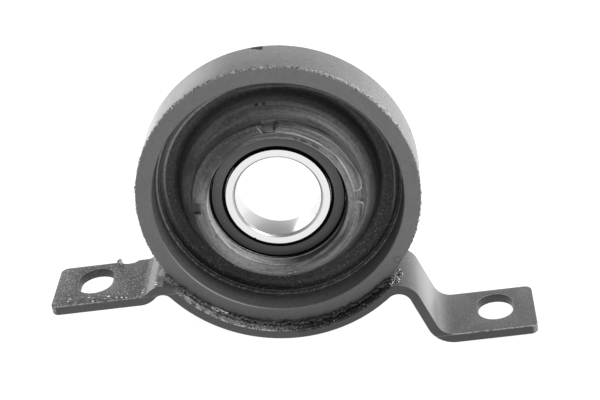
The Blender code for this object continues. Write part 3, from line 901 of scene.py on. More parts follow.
def coat_finish(name, tone, scuff, speck):
    """Thin dark coat on the strap: mottled and specked, chipped at edges, rubbed on the bend.
    Painted highlights on the right bend, painted shade on the front faces and slot walls, and black
    slag that is partly painted shade.
    """
    finish = Finish(name)
    mottle = finish.noise(0.006, 4.0, 0.6)
    grain = finish.noise(0.0007, 3.0, 0.6)
    left = finish.x < 0.0
    clouds = finish.spread(finish.noise(0.02, 2.0), 0.35, 0.6)
    pale = finish.specks(speck, 0.16) * clouds * (0.35 + left * 0.65)
    fine = finish.specks(speck * 0.6, 0.22) * (0.25 + left * 0.75)
    dark = finish.specks(speck * 1.3, 0.14)
    base = finish.mix(mottle, shaded(tone, 0.9), shaded(tone, 1.15))
    base = finish.mix(left, finish.mix(mottle, shaded(tone, 1.1), shaded(tone, 1.5)), base)
    gritty = finish.spread(grain, 0.60, 0.42)
    base = finish.mix(gritty * (0.25 + left * 0.45), base, shaded(tone, 0.35))
    base = finish.mix(finish.spread(grain, 0.50, 0.72) * (0.18 + left * 0.37), base, scuff)
    base = finish.mix(dark * 0.7, base, grey_tone(0.012))
    # The front faces, painted darker below as shade
    cut = finish.spread(finish.along, STRAP_FRONT + 0.00035, STRAP_FRONT + 0.00015)
    speckled = finish.mix(left, shaded(scuff, 1.7), shaded(scuff, 2.2))
    base = finish.mix(finish.larger(pale * 0.75, fine * 0.9), base, speckled)
    flakes = finish.specks(0.0021, 0.30) * left * (finish.x > 0.0030 - LEFT_LEG.reach)
    flakes = flakes * finish.spread(finish.along, STRAP_FRONT + 0.0080, STRAP_FRONT + 0.0030)
    flakes = flakes * (finish.along > STRAP_FRONT + 0.0012)
    base = finish.mix(flakes, base, shaded(scuff, 2.8))
    # Painted highlights: a lighter band on the right leg's bend, and a gleam spot near it
    bend_highlight = finish.band(finish.z, -0.0590, 0.0260) * finish.spread(finish.x, 0.0640, 0.0590)
    base = finish.mix(bend_highlight * (finish.x > 0.0400) * 0.9, base, shaded(tone, 3.0))
    gleam = finish.spot(0.0600, 50.5, 0.0022, 0.0062, soft=0.7)
    base = finish.mix(gleam * (grain > 0.36), base, shaded(scuff, 3.0))
    # Painted shade: the front faces are darker, more so on the right
    front_face_shade = finish.mix(left, shaded(tone, 0.18), shaded(tone, 0.30))
    base = finish.mix(cut * 0.95, base, front_face_shade)
    for centre_x in (-LEFT_LEG.slot_x, RIGHT_LEG.slot_x):
        distance = finish.slot_distance(centre_x)
        # Painted shade on the slot's walls, and a painted highlight along its edge
        wall = distance < SLOT_WIDTH / 2 + 0.00012
        lip = finish.band(distance, SLOT_WIDTH / 2 + 0.00030, 0.00040)
        base = finish.mix(wall * 0.85, base, grey_tone(0.012))
        base = finish.mix(lip * 0.6, base, scuff)
    # Chipped coat along the feet's top front edge, also painted lighter as a highlight
    chips = finish.patches(0.0011, 0.38, 0.56, 4.0)
    top = LEFT_LEG.foot_z * left + RIGHT_LEG.foot_z * (1.0 - left) + STRAP_THICKNESS / 2
    corner = finish.band(finish.z, top - 0.0001, 0.0009) * chips
    corner = corner * finish.band(finish.along, STRAP_FRONT + 0.0003, 0.0008)
    base = finish.mix(corner * 0.75, base, shaded(scuff, 1.8))
    rubbed = rubbed_bend(finish)
    base = finish.mix(rubbed, base, shaded(scuff, 1.15))
    # Black slag beside the bead, partly painted shade: the gap under the ring and the wedge at the
    # left end go dead black
    slag = arc_slag_and_shade(finish)
    scraped = arc_scrape(finish)
    right = finish.spread(finish.x, -0.0120, 0.0060)
    slag_black = finish.spread(grain - right * 0.14, 0.56, 0.44) * (0.5 + right * 0.35)
    finish.blacken(slag * slag_black)
    base = finish.mix(slag, base, grey_tone(0.12))
    base = finish.mix(scraped, base, shaded(scuff, 1.6))
    smudge = finish.spot(0.0709, 50.8, 0.0027, -0.001, soft=0.8)
    base = finish.mix(smudge * 0.6, base, shaded(tone, 0.3))
    rough = 0.34 + (grain - 0.5) * 0.25 + left * 0.1 + pale * 0.1 - slag * 0.1
    height = grain * 0.6 + mottle * 0.4
    normal = finish.bumps(height, 0.00012, 0.55)
    normal = finish.bumps(pale - dark, 0.00006, 0.5, normal)
    lumps = finish.noise(0.0013, 3.0, 0.7) * finish.larger(slag, scraped)
    normal = finish.bumps(lumps, 0.0004, 0.8, normal)
    return finish.surface(
        Base_Color=base, Roughness=rough, Metallic=scraped * 0.2, Normal=normal
    )


def rubbed_bend(finish):
    """The pale stripe that the forming tool rubbed across the left bend, with ragged edges."""
    edge = (finish.noise(0.0016, 3.0, 0.6) - 0.5) * 0.0014
    across = finish.x + edge
    stripe = finish.spread(across, -0.0607, -0.0600) * finish.spread(across, -0.0560, -0.0568)
    worn = finish.patches(0.003, 0.15, 0.40, 3.0, 0.6)
    spot = finish.math("SQRT", (finish.x + 0.0540) ** 2 + ((finish.along - 0.0072) * 0.5) ** 2)
    dot = finish.spread(spot + edge * 0.4, 0.0021, 0.0013)
    streak = finish.band(across, -0.0535, 0.0026) * 0.35
    upper = (finish.z > LEFT_LEG.foot_z) * (finish.along > STRAP_FRONT + 0.0003)
    bare = 0.55 + 0.45 * finish.patches(0.0010, 0.45, 0.60)
    marks = finish.larger(stripe * worn * bare, dot)
    return finish.larger(marks, streak * worn) * upper * (finish.x < 0.0)


def arc_slag_and_shade(finish):
    """The black slag on the strap's arc beside the bead, partly painted shade of the gap under the
    ring, and painted shade in the wedge at its left end.
    """
    inside = finish.ragged(finish.radius, STRAP_BORE + 0.0011, 0.0011, 0.0007)
    turn = finish.turn
    reach = finish.spread(turn, math.radians(-50), math.radians(5), -0.0026, -0.0060)
    back = finish.ragged(-finish.along, -reach, 0.0016, 0.0011)
    ends = (turn > math.radians(-62)) * (turn < math.radians(50))
    # Painted shade: the wedge of the gap where the strap leaves the ring
    wedge = finish.ragged(finish.radius, 0.0612, 0.0012, 0.0009) * (turn > math.radians(-61.5))
    wedge = wedge * finish.ragged(turn * RING_OUTER, -0.0560, 0.0012, 0.0012)
    wedge = wedge * finish.ragged(-finish.along, 0.0050, 0.0012, 0.0008) * (finish.x < 0.0)
    return finish.larger(inside * back * ends, wedge)


def arc_scrape(finish):
    """The bright scraped patches and grains in front of the slag, mostly on the left half."""
    turn = finish.turn
    inside = finish.radius < STRAP_BORE + 0.0004
    place = finish.spread(turn, math.radians(-57), math.radians(-50))
    place = place * finish.spread(turn, math.radians(16), math.radians(-20))
    front = finish.spread(finish.along, -0.0018, -0.0030)
    smear = finish.patches(0.0022, 0.44, 0.56, 4.0, 0.75) * 0.6
    grains = finish.patches(0.0007, 0.54, 0.60)
    return inside * place * front * finish.larger(smear, grains)


def ring_finish(name, tone):
    """The ring's satin coat: fine grain, faint clouds, a painted sheen by turn, rough front margin,
    chipped rear edge.
    """
    finish = Finish(name)
    cloud = finish.noise(0.012, 4.0, 0.6)
    grain = finish.noise(0.0006, 3.0, 0.7)
    pits = finish.specks(0.0026, 0.05)
    jagged = (finish.noise(0.0014, 4.0, 0.7) - 0.5) * 0.005
    deep = finish.spread(finish.x, -0.0040, 0.0012, 0.0006, 0.0040)
    gash = finish.spread(finish.along + deep + jagged, RING_REAR - 0.0004, RING_REAR)
    gash = gash * (finish.z > 0.0) * (finish.x > -0.0040)
    gash = gash * finish.spread(finish.x + jagged * 0.6, 0.0022, 0.0018)
    edge = finish.spread(finish.along, RING_REAR - 0.0030, RING_REAR - 0.0012)
    chips = edge * finish.patches(0.0040, 0.62, 0.66, 4.0)
    chips = finish.larger(chips, gash)
    right = finish.near_turn(126, 56)
    margin = finish.ragged(finish.along - right * 0.0020, RING_FRONT + 0.0014, 0.0018, 0.0022)
    crust = finish.patches(0.0010, 0.42, 0.52)
    # Painted sheen: the coat is lighter by turn, brightest on the upper left
    rubbed = finish.by_turn(
        (-180, 0.20), (-168, 0.07), (-155, 0.08), (-142, 0.20), (-133, 0.45), (-126, 0.9),
        (-90, 0.9), (-60, 0.22), (122, 0.22), (141, 0.17), (180, 0.20),
    )
    rubbed = rubbed + (cloud - 0.5) * 0.15
    base = finish.mix(rubbed, shaded(tone, 0.6), shaded(tone, 2.4))
    base = finish.mix(finish.spread(grain, 0.60, 0.38) * 0.5, base, shaded(tone, 0.45))
    base = finish.mix(finish.spread(grain, 0.56, 0.72) * 0.3, base, shaded(tone, 1.9))
    base = finish.mix(margin * 0.80, base, grey_tone(0.06))
    bright = finish.by_turn(
        (-180, 0.3), (-168, 0.4), (-155, 0.9), (155, 0.9), (168, 0.4), (180, 0.3)
    )
    base = finish.mix(margin * crust * bright, base, grey_tone(0.60))
    dark = finish.larger(pits, chips)
    base = finish.mix(dark * 0.95, base, grey_tone(0.008))
    rough = 0.40 + (grain - 0.5) * 0.35 + dark * 0.3 + margin * 0.2
    metal = (0.40 - margin * 0.35) * (1.0 - dark)
    normal = finish.bumps(grain, 0.00010, 0.6)
    normal = finish.bumps(margin * crust - dark, 0.00025, 0.7, normal)
    return finish.surface(Base_Color=base, Roughness=rough, Metallic=metal, Normal=normal)


def groove_tones(finish, base, tone):
    """Painted light and shade in the groove between the hub's cone and the wall: its lit and dark
    sides, and painted highlight lines.
    """
    radius, along, turn = finish.radius, finish.along, finish.turn
    low = (along > 0.0125) * (radius > GROOVE_INNER + 0.0015)
    bend = finish.spread(turn, math.radians(-165), math.radians(-95), 0.0450, 0.0476)
    upper_left = finish.by_turn(
        (-175, 0.0), (-158, 0.8), (-145, 1.0), (-115, 0.9), (-90, 0.4), (-70, 0.0)
    )
    # Painted light outside the highlight line on the upper left
    lit_outside = finish.spread(radius - bend, -0.0004, 0.0004) * low * upper_left
    base = finish.mix(lit_outside * 0.8, base, shaded(tone, 1.3))
    top = finish.by_turn((-180, 1.0), (-150, 0.7), (-100, 0.0), (100, 0.0), (150, 0.7), (180, 1.0))
    inner_wall = (radius > CREST) * (radius < GROOVE_INNER + 0.0020)
    # Painted light: the groove's inner wall and crest are lighter at the top
    base = finish.mix(top * inner_wall * 0.5, base, shaded(tone, 1.0))
    lit_crest = finish.spread(radius, CREST + 0.0014, CREST + 0.0005) * (radius > CREST - 0.0012)
    base = finish.mix(lit_crest * top * (along < CREST_AT + 0.004) * 0.6, base, shaded(tone, 1.2))
    # Painted highlight line on the upper left
    polished = finish.band(radius - bend, 0.0002, 0.0015) * low * upper_left
    base = finish.mix(polished, base, shaded(tone, 4.0))
    right = finish.by_turn((50, 0.0), (75, 1.0), (125, 1.0), (150, 0.0))
    # Painted shade on the right of the groove
    shaded_wall = right * (radius > GROOVE_INNER + 0.0015) * (along > 0.0020)
    base = finish.mix(shaded_wall * 0.6, base, shaded(tone, 0.12))
    # Painted highlight lines: a blurred one on the right, a faint one round the top
    blurred_highlight = finish.band(radius, 0.0432, 0.0022) * right * (along > 0.0125)
    base = finish.mix(blurred_highlight * 0.6, base, shaded(tone, 1.3))
    faint = finish.by_turn((-180, 0.6), (-172, 0.5), (-160, 0.0), (55, 0.0), (75, 0.7), (180, 0.6))
    faint_bend = finish.by_turn(
        (-180, 0.09), (55, 0.70), (65, 0.68), (80, 0.57), (90, 0.56), (105, 0.52), (118, 0.40),
        (138, 0.24), (148, 0.17), (160, 0.13), (172, 0.09), (180, 0.09),
    )
    faint = faint * finish.band(radius - faint_bend * 0.01, 0.0420, 0.0011) * (along > 0.0120)
    base = finish.mix(faint, base, shaded(tone, 3.0))
    return base


def hub_line_highlights(finish, swirl, streak):
    """Flow lines round the upper right of the hub, painted bright as highlights."""
    along = finish.along
    upper_right = finish.near_turn(133, 120)
    lines = finish.band(swirl, 0.0345, 0.00045) * 0.8 + finish.band(swirl, 0.0315, 0.00110) * 1.3
    lines = lines + finish.band(swirl, 0.0289, 0.00040) + finish.band(swirl, 0.0330, 0.0003) * 0.4
    lines = lines * upper_right * (along < 0.0) * finish.spread(streak, 0.30, 0.5)
    outer_lines = finish.band(swirl, 0.0368, 0.0004) + finish.band(swirl, 0.0379, 0.0005)
    lines = lines + outer_lines * upper_right * (along < CREST_AT) * 0.25
    return lines


def right_notch_highlight(finish):
    """The painted highlight along the right notch's outline, with its round corners."""
    radius = finish.radius
    from_right_notch = abs(finish.turn - RIGHT_NOTCH) * 0.0325
    beside = finish.larger(NOTCH_WIDTH / 2 + NOTCH_CORNER - from_right_notch, 0.0)
    beyond = finish.larger(radius - (0.0348 - NOTCH_CORNER), 0.0)
    corner = finish.math("SQRT", beside * beside + beyond * beyond) - NOTCH_CORNER
    outline = finish.band(corner, 0.0, 0.0007) * finish.spread(from_right_notch, 0.0110, 0.0050)
    return outline * (radius > 0.0316) * (radius < 0.0352) * (from_right_notch > 0.0018)


def hub_dents_and_shadow(finish, swirl):
    """Black spots on the hub: torn pits, two holes, and a painted shadow at the top notch's flared
    left side.
    """
    radius, turn = finish.radius, finish.turn
    pits = finish.band(swirl, 0.0299, 0.0013) * finish.near_turn(148, 40)
    pits = pits * 2.0 * finish.patches(0.0016, 0.52, 0.44)
    holes = finish.spot(0.0396, -175.8, 0.0008, 0.0080)
    holes = holes + finish.spot(0.0397, 179.8, 0.0009, 0.0078)
    # Painted shadow beside the top notch, a wedge that widens outwards
    wedge = finish.spread(radius, 0.0308, 0.0346, 0.0, math.radians(3.6))
    notch_shadow = finish.spread(TOP_NOTCH_SIDE - turn - wedge, 0.006, -0.006) * (turn < TOP_NOTCH_SIDE)
    notch_shadow = notch_shadow * finish.spread(radius, 0.0350, 0.0345) * (radius > 0.0308) * 0.85
    return finish.clamp(pits + holes + notch_shadow)


def rubber_finish(name, tone):
    """Moulded rubber: dusty rim, a gritty groove painted dark as shade, painted light and shade on
    the hub face and its mouth, and flow lines on the hub painted as highlights.
    """
    finish = Finish(name)
    cloud = finish.noise(0.010, 4.0, 0.6)
    grain = finish.noise(0.0006, 3.0, 0.65)
    streak = finish.noise(1.0, 4.0, 0.65, finish.around(0.0011, 0.55), 0.3)
    radius, along, turn = finish.radius, finish.along, finish.turn
    rim = finish.spread(radius, RIM_INNER - 0.0008, RIM_INNER + 0.0006)
    hub = finish.spread(radius, HUB_CONE + 0.0012, HUB_EDGE - 0.0004)
    mouth = (radius < HUB_MOUTH + 0.0006) * (along < BEARING_FRONT)
    cone = finish.spread(radius, CREST + 0.0006, CREST - 0.0016) * (along < CREST_AT + 0.0006)
    shank = finish.spread(radius, HUB_CONE + 0.0006, HUB_CONE - 0.0002) * (along > -0.0020)
    fine = finish.noise(0.0013, 3.0, 0.7)
    wall = finish.spread(along, 0.0110, 0.0002) * (radius > GROOVE_OUTER - 0.0010)
    lit_lower_left = finish.by_turn(
        (-180, 0.1), (-120, 0.3), (-70, 1.0), (0, 0.9), (20, 0.5), (40, 0.2)
    )
    patch = finish.patches(0.016, 0.42, 0.58, 3.0, 0.5)
    # Dark base: painted shade in the groove; the rim, hub and cone are made lighter over it
    base = finish.mix(cloud, shaded(tone, 0.24), shaded(tone, 0.44))
    base = finish.mix(cone * (0.15 + streak * 0.3 + patch * 0.5), base, shaded(tone, 1.1))
    base = finish.mix(shank * cone * (0.5 + streak * 0.5), base, shaded(tone, 3.0))
    lit = finish.by_turn(
        (-180, 0.3), (-150, 0.0), (0, 0.0), (25, 0.4), (45, 1.0), (135, 1.0), (165, 0.4), (180, 0.3)
    )
    near = finish.spread(radius, 0.0385, 0.0360)
    base = finish.mix(cone * lit * near * (0.4 + streak * 0.6), base, shaded(tone, 2.6))
    # Painted light on the rim's wall at the lower left
    base = finish.mix(wall * lit_lower_left, base, shaded(tone, 2.2))
    base = groove_tones(finish, base, tone)
    rim_tone = finish.by_turn((-180, 0.9), (-60, 0.8), (-8, 0.3), (25, 0.6), (70, 0.9), (180, 0.9))
    rim_tone = rim_tone + (cloud - 0.5) * 0.6 + (streak - 0.5) * 0.4
    base = finish.mix(rim, base, finish.mix(rim_tone, shaded(tone, 0.55), shaded(tone, 1.15)))
    # Painted light and shade on the hub face: lighter and darker by turn, and lighter on its inner
    # part
    lit_by_turn = finish.by_turn(
        (-180, 0.35), (-145, 0.03), (-122, 0.08), (-100, 0.70), (-75, 0.80), (-40, 1.0), (0, 0.60),
        (45, 0.65), (90, 0.90), (140, 0.55), (180, 0.35),
    )
    inner = finish.spread(radius, 0.0335, 0.0322)
    lit_by_turn = lit_by_turn * (0.65 + inner * 0.35)
    face = finish.mix(lit_by_turn, shaded(tone, 0.18), shaded(tone, 2.1))
    base = finish.mix(hub, base, face)
    shade = finish.by_turn((-18, 0.0), (0, 0.45), (20, 0.9), (50, 1.0), (72, 0.4), (84, 0.0))
    shade = shade * hub * finish.spread(radius, 0.0320, 0.0305)
    base = finish.mix(shade, base, shaded(tone, 0.15))
    # Painted light and shade on the hub's mouth wall, lit at the lower left
    mouth_wall_light = finish.by_turn(
        (-180, 0.1), (-112, 0.5), (-90, 1.0), (-35, 1.0), (-15, 0.6), (10, 0.0)
    )
    base = finish.mix(mouth, base, finish.mix(mouth_wall_light, shaded(tone, 0.12), shaded(tone, 7.5)))
    # Painted highlight along the foot of the mouth wall
    foot = finish.spread(along, BEARING_FRONT - GAP - 0.0012, BEARING_FRONT - GAP - 0.0004)
    lit_foot = finish.by_turn((-70, 0.0), (-45, 0.8), (50, 0.7), (65, 0.0))
    base = finish.mix(mouth * foot * lit_foot, base, shaded(tone, 6.0))
    flow = finish.spread(streak, 0.45, 0.75) * hub * lit_by_turn
    base = finish.mix(flow, base, shaded(tone, 2.2))
    worn = finish.spread(streak, 0.52, 0.36) * (hub + cone * 0.4) * (1.0 - lit_by_turn * 0.7)
    base = finish.mix(worn, base, shaded(tone, 0.15))
    left = finish.by_turn((-150, 0.0), (-120, 1.0), (-78, 0.9), (-60, 0.0))
    outer = finish.band(radius, 0.0341, 0.0034) * 2.5
    base = finish.mix(finish.clamp(left * outer) * 0.7, base, shaded(tone, 0.6))
    # Painted shade in the left notch, widening outwards
    from_left_notch = abs(turn - LEFT_NOTCH)
    open_to = finish.spread(radius, 0.0325, 0.0347, math.radians(4.4), math.radians(9.5))
    notch = finish.spread(from_left_notch - open_to, 0.02, -0.02) * (radius > 0.0318)
    base = finish.mix(notch * (radius < 0.0360) * 0.85, base, shaded(tone, 0.25))
    gritty = 0.5 - rim * 0.32
    base = finish.mix(finish.spread(fine, 0.55, 0.30) * gritty, base, shaded(tone, 0.2))
    base = finish.mix(finish.spread(fine, 0.52, 0.75) * gritty * 0.6, base, shaded(tone, 2.0))
    sandy = finish.spread(grain, 0.35, 0.65) * rim * 0.3
    base = finish.mix(sandy, base, shaded(tone, 1.6))
    glint = finish.band(radius, RIM_INNER + 0.0001, 0.0004) * 1.4 * (along < 0.0012)
    glint = glint * finish.by_turn((-180, 0.0), (-78, 0.0), (-50, 0.6), (-30, 0.5), (-5, 0.1))
    base = finish.mix(glint, base, grey_tone(0.5))
    swirl = radius + (cloud - 0.5) * 0.0009
    # Flow lines, painted as highlights
    lines = hub_line_highlights(finish, swirl, streak)
    base = finish.mix(lines * 0.8, base, grey_tone(0.40))
    # Painted highlight round the right notch
    base = finish.mix(right_notch_highlight(finish), base, grey_tone(0.36))
    dents_and_shadow = hub_dents_and_shadow(finish, swirl)
    base = finish.mix(dents_and_shadow, base, grey_tone(0.004))
    # Painted highlight on the top notch's lip
    slant = turn - TOP_NOTCH_LIP - (radius - 0.031) * math.radians(1000)
    lip = finish.band(slant, 0.0, math.radians(1.3)) * finish.band(radius, 0.0326, 0.0042)
    base = finish.mix(lip * 0.9, base, grey_tone(0.35))
    gate = finish.near_turn(3, 18) * hub * (fine > 0.44)
    crack = finish.band(swirl, 0.0324, 0.0007) * gate * 2.0
    base = finish.mix(finish.clamp(crack), base, grey_tone(0.004))
    bits = finish.specks(0.0009, 0.5) * finish.band(radius, 0.0331, 0.0018) * gate
    base = finish.mix(bits, base, grey_tone(0.45))
    dust = finish.specks(0.0016, 0.07) * finish.spread(cloud, 0.4, 0.6)
    depth = finish.spread(along, PARTING_AT - 0.0003, PARTING_AT + 0.0005)
    grit = finish.patches(0.0009, 0.52, 0.64) * depth
    crust = finish.band(along, PARTING_AT + 0.0001, 0.0012) * (radius > GROOVE_OUTER - 0.0002)
    left_line = finish.by_turn((-132, 0.0), (-122, 1.0), (-95, 1.0), (-75, 0.3), (-55, 0.0))
    crust = crust * finish.spread(finish.noise(0.0012, 4.0, 0.7) + left_line * 0.3, 0.48, 0.62)
    marks = finish.larger(dust, grit * 0.45)
    base = finish.mix(marks * 0.5, base, grey_tone(0.20))
    below = finish.by_turn((-95, 0.0), (-60, 1.0), (60, 1.0), (95, 0.0))
    sparkle = finish.specks(0.0008, 0.28) * below * (radius > CREST) * (radius < WALL + 0.0004)
    base = finish.mix(sparkle * (fine > 0.5), base, grey_tone(0.30))
    base = finish.mix(crust * (0.7 + left_line * 0.3), base, grey_tone(0.24))
    edge = finish.ragged(-radius, -(RING_OUTER - 0.0002), 0.0011, 0.0005)
    crumbly = finish.patches(0.0009, 0.46, 0.62)
    base = finish.mix(edge * crumbly * 0.7, base, grey_tone(0.42))
    scuff = finish.spot(0.0560, 52.8, 0.0016) - finish.spot(0.0560, 52.8, 0.0011)
    base = finish.mix(scuff * rim * 0.7, base, shaded(tone, 0.3))
    rough = 0.52 + (grain - 0.5) * 0.35 + (cloud - 0.5) * 0.2 - lines * 0.15
    height = grain * 0.5 + streak * hub * 0.5 + depth * grain * 2
    normal = finish.bumps(height, 0.00014, 0.7)
    normal = finish.bumps(lines + marks * 0.5 + crust - dents_and_shadow, 0.00010, 0.6, normal)
    return finish.surface(Base_Color=base, Roughness=rough, Normal=normal)


def steel_finish(name, tone, rough, rings):
    """Ground steel with fine grinding marks that run round the shaft, and a few faint stains."""
    finish = Finish(name)
    marks = finish.noise(1.0, 4.0, 0.7, finish.around(rings, 1.2))
    stain = finish.noise(0.004, 4.0, 0.6)
    nick = finish.specks(0.0030, 0.05)
    base = finish.mix(finish.spread(stain, 0.35, 0.75) * 0.35, tone, shaded(tone, 0.72))
    base = finish.mix(nick * 0.6, base, grey_tone(0.10))
    shine = rough + (marks - 0.5) * 0.12 + stain * 0.05
    normal = finish.bumps(marks, 0.00001, 0.35)
    return finish.surface(Base_Color=base, Roughness=shine, Metallic=1.0, Normal=normal)


def race_finish(name, tone):
    """Ground races: a fine dark line at the bore's chamfer; painted shade on the outer race's
    recessed front face, and dead black in the gaps under the seals' lips.
    """
    finish = Finish(name)
    marks = finish.noise(1.0, 4.0, 0.7, finish.around(0.0004, 1.2))
    stain = finish.noise(0.004, 4.0, 0.6)
    line = finish.band(finish.radius, BORE + 0.0009, 0.00030) * (finish.along < BEARING_CENTRE)
    chamfer = finish.band(finish.radius, BORE + 0.00045, 0.0009)
    # Painted shade on the outer race's recessed front face: darker, and dead black except at the
    # lower left
    recessed_face_shade = (finish.radius > RECESS - 0.0003) * (finish.along < BEARING_CENTRE - 0.004)
    shade_by_turn = finish.by_turn((-180, 1.0), (-78, 1.0), (-62, 0.1), (-12, 0.1), (4, 1.0), (180, 1.0))
    nick = finish.math("SQRT", (finish.x + 0.0123) ** 2 + (finish.z + 0.0175) ** 2) < 0.00045
    base = finish.mix(stain * 0.25, tone, shaded(tone, 0.86))
    base = finish.mix(chamfer * 0.7, base, shaded(tone, 0.55))
    base = finish.mix(line * 0.75, base, grey_tone(0.10))
    base = finish.mix(nick, base, grey_tone(0.02))
    base = finish.mix(recessed_face_shade, base, shaded(tone, 0.35))
    # Painted shade: dead black in the gaps under the seals' lips
    lip_gap_shade = finish.band(finish.radius, LAND + 0.0001, 0.0003) > 0.2
    finish.blacken(finish.larger(lip_gap_shade, recessed_face_shade * shade_by_turn * 0.95))
    shine = 0.17 + (marks - 0.5) * 0.12 + stain * 0.04 + chamfer * 0.2
    normal = finish.bumps(marks, 0.00001, 0.35)
    normal = finish.bumps(line, -0.00005, 0.5, normal)
    return finish.surface(Base_Color=base, Roughness=shine, Metallic=1.0, Normal=normal)


def seal_finish(name, tone):
    """Satin seal rubber with faint turning marks and a little dust, and a painted sheen towards the
    top; its recessed lip, and its rim except at the top, are painted dead black as shade.
    """
    finish = Finish(name)
    marks = finish.noise(1.0, 3.0, 0.6, finish.around(0.0005, 0.9))
    grain = finish.noise(0.0005, 2.0)
    dust = finish.specks(0.0017, 0.07)
    # Painted sheen: lighter towards the top
    lit_by_turn = finish.by_turn((-180, 1.0), (-125, 1.0), (-100, 0.4), (-60, 0.0), (60, 0.1), (110, 1.0))
    base = finish.mix(marks * 0.6, tone, shaded(tone, 1.9))
    base = finish.mix(lit_by_turn * 0.5, base, shaded(tone, 4.2))
    base = finish.mix(dust * 0.5, base, grey_tone(0.2))
    rough = 0.40 + (marks - 0.5) * 0.2 + (grain - 0.5) * 0.1
    # Painted shade: the recessed lip, and the rim except at the top, are dead black
    shown = finish.by_turn((-120, 0.0), (-106, 1.0), (106, 1.0), (116, 0.0))
    rim = (finish.radius > RECESS - 0.0008) * (shown > 0.5)
    finish.blacken(finish.larger(rim, finish.radius < SEAL_BODY - 0.00003))
    normal = finish.bumps(grain * 0.5 + marks * 0.5, 0.00004, 0.4)
    return finish.surface(Base_Color=base, Roughness=rough, Normal=normal)


def slag_finish(name, tone):
    """Black weld slag, glossy in places, with bright metal showing at some lumps."""
    finish = Finish(name)
    grain = finish.noise(0.0009, 4.0, 0.7)
    bare = finish.patches(0.0016, 0.66, 0.72)
    base = finish.mix(finish.spread(grain, 0.4, 0.7) * 0.5, tone, grey_tone(0.05))
    grey = finish.by_turn((-75, 0.9), (-45, 0.9), (-20, 0.6), (0, 0.15), (20, 0.0))
    outer = finish.spread(finish.radius, RING_OUTER - 0.0014, RING_OUTER - 0.0009)
    grey = grey * outer
    base = finish.mix(grey * finish.spread(grain, 0.35, 0.55), base, grey_tone(0.15))
    base = finish.mix(bare * 0.8, base, grey_tone(0.45))
    streak = finish.near_turn(-34.5, 16) * 2.0
    streak = streak * finish.band(finish.along, -0.0014, 0.0026) * finish.spread(grain, 0.38, 0.5)
    base = finish.mix(finish.clamp(streak * outer), base, grey_tone(0.75))
    rough = 0.34 + (grain - 0.5) * 0.5
    normal = finish.bumps(grain, 0.00025, 0.8)
    return finish.surface(Base_Color=base, Roughness=rough, Metallic=bare * 0.8, Normal=normal)


def crumb_finish(name, dark, bright, share):
    """Crumbs that are bright or dark by chance; both tones are greys."""
    finish = Finish(name)
    chance = finish.noise(0.0011, 3.0, 0.7)
    shown = finish.spread(chance, 1 - share, 1 - share + 0.06)
    base = finish.mix(shown, grey_tone(dark), grey_tone(bright))
    grain = finish.noise(0.0004, 2.0)
    normal = finish.bumps(grain, 0.0001, 0.6)
    return finish.surface(Base_Color=base, Roughness=0.35 + grain * 0.3, Normal=normal)


class Leg:
    """A leg's middle line, drawn as if on the +X side: bend, straight, bend, foot."""

    def __init__(self, drop, upper, descent, straight, lower, foot_length, slot_inset):
        self.upper = upper
        self.lower = lower
        self.descent = descent
        self.foot_z = STRAP_THICKNESS / 2 - drop
        fall = (upper + lower) * math.cos(descent) - straight * math.sin(descent)
        self.centre_z = self.foot_z + lower - fall
        self.arc_end = math.acos(-self.centre_z / (STRAP_MIDDLE + upper))
        self.centre_x = (STRAP_MIDDLE + upper) * math.sin(self.arc_end)
        run = (upper + lower) * math.sin(descent) + straight * math.cos(descent)
        self.bend_end = self.centre_x + run
        self.reach = self.bend_end + foot_length
        self.slot_x = self.reach - slot_inset

    def path(self):
        """Points (x, z, heading) from just past the ring's arc to the tip of the foot."""
        points = []
        sweep = self.arc_end + self.descent
        steps = math.ceil(sweep / BEND_STEP)
        for step in range(1, steps + 1):
            heading = self.arc_end - sweep * step / steps
            points.append(on_bend(self.centre_x, self.centre_z, self.upper, heading))
        steps = math.ceil(self.descent / BEND_STEP)
        for step in range(steps + 1):
            heading = self.descent * (step / steps - 1)
            points.append(on_bend(self.bend_end, self.foot_z + self.lower, -self.lower, heading))
        points.append((self.reach, self.foot_z, 0))
        return points


def on_bend(centre_x, centre_z, radius, heading):
    """A point of an arc where it runs at this heading; a negative radius bends upwards."""
    return (centre_x - radius * math.sin(heading), centre_z + radius * math.cos(heading), heading)


LEFT_LEG = Leg(
    drop=0.0384, upper=0.00635, descent=math.radians(41), straight=0.0004, lower=0.00755,
    foot_length=0.0378, slot_inset=0.0171,
)
RIGHT_LEG = Leg(
    drop=0.0732, upper=0.00755, descent=math.radians(69), straight=0.0159, lower=0.0100,
    foot_length=0.0340, slot_inset=0.0165,
)


def strap_path():
    """The strap's middle line as (x, z, heading), from the left foot's tip to the right's."""
    path = [(-x, z, -heading) for x, z, heading in reversed(LEFT_LEG.path())]
    sweep = LEFT_LEG.arc_end + RIGHT_LEG.arc_end
    steps = math.ceil(sweep / BEND_STEP)
    for step in range(steps + 1):
        path.append(on_bend(0, 0, -STRAP_MIDDLE, sweep * step / steps - LEFT_LEG.arc_end))
    return path + RIGHT_LEG.path()


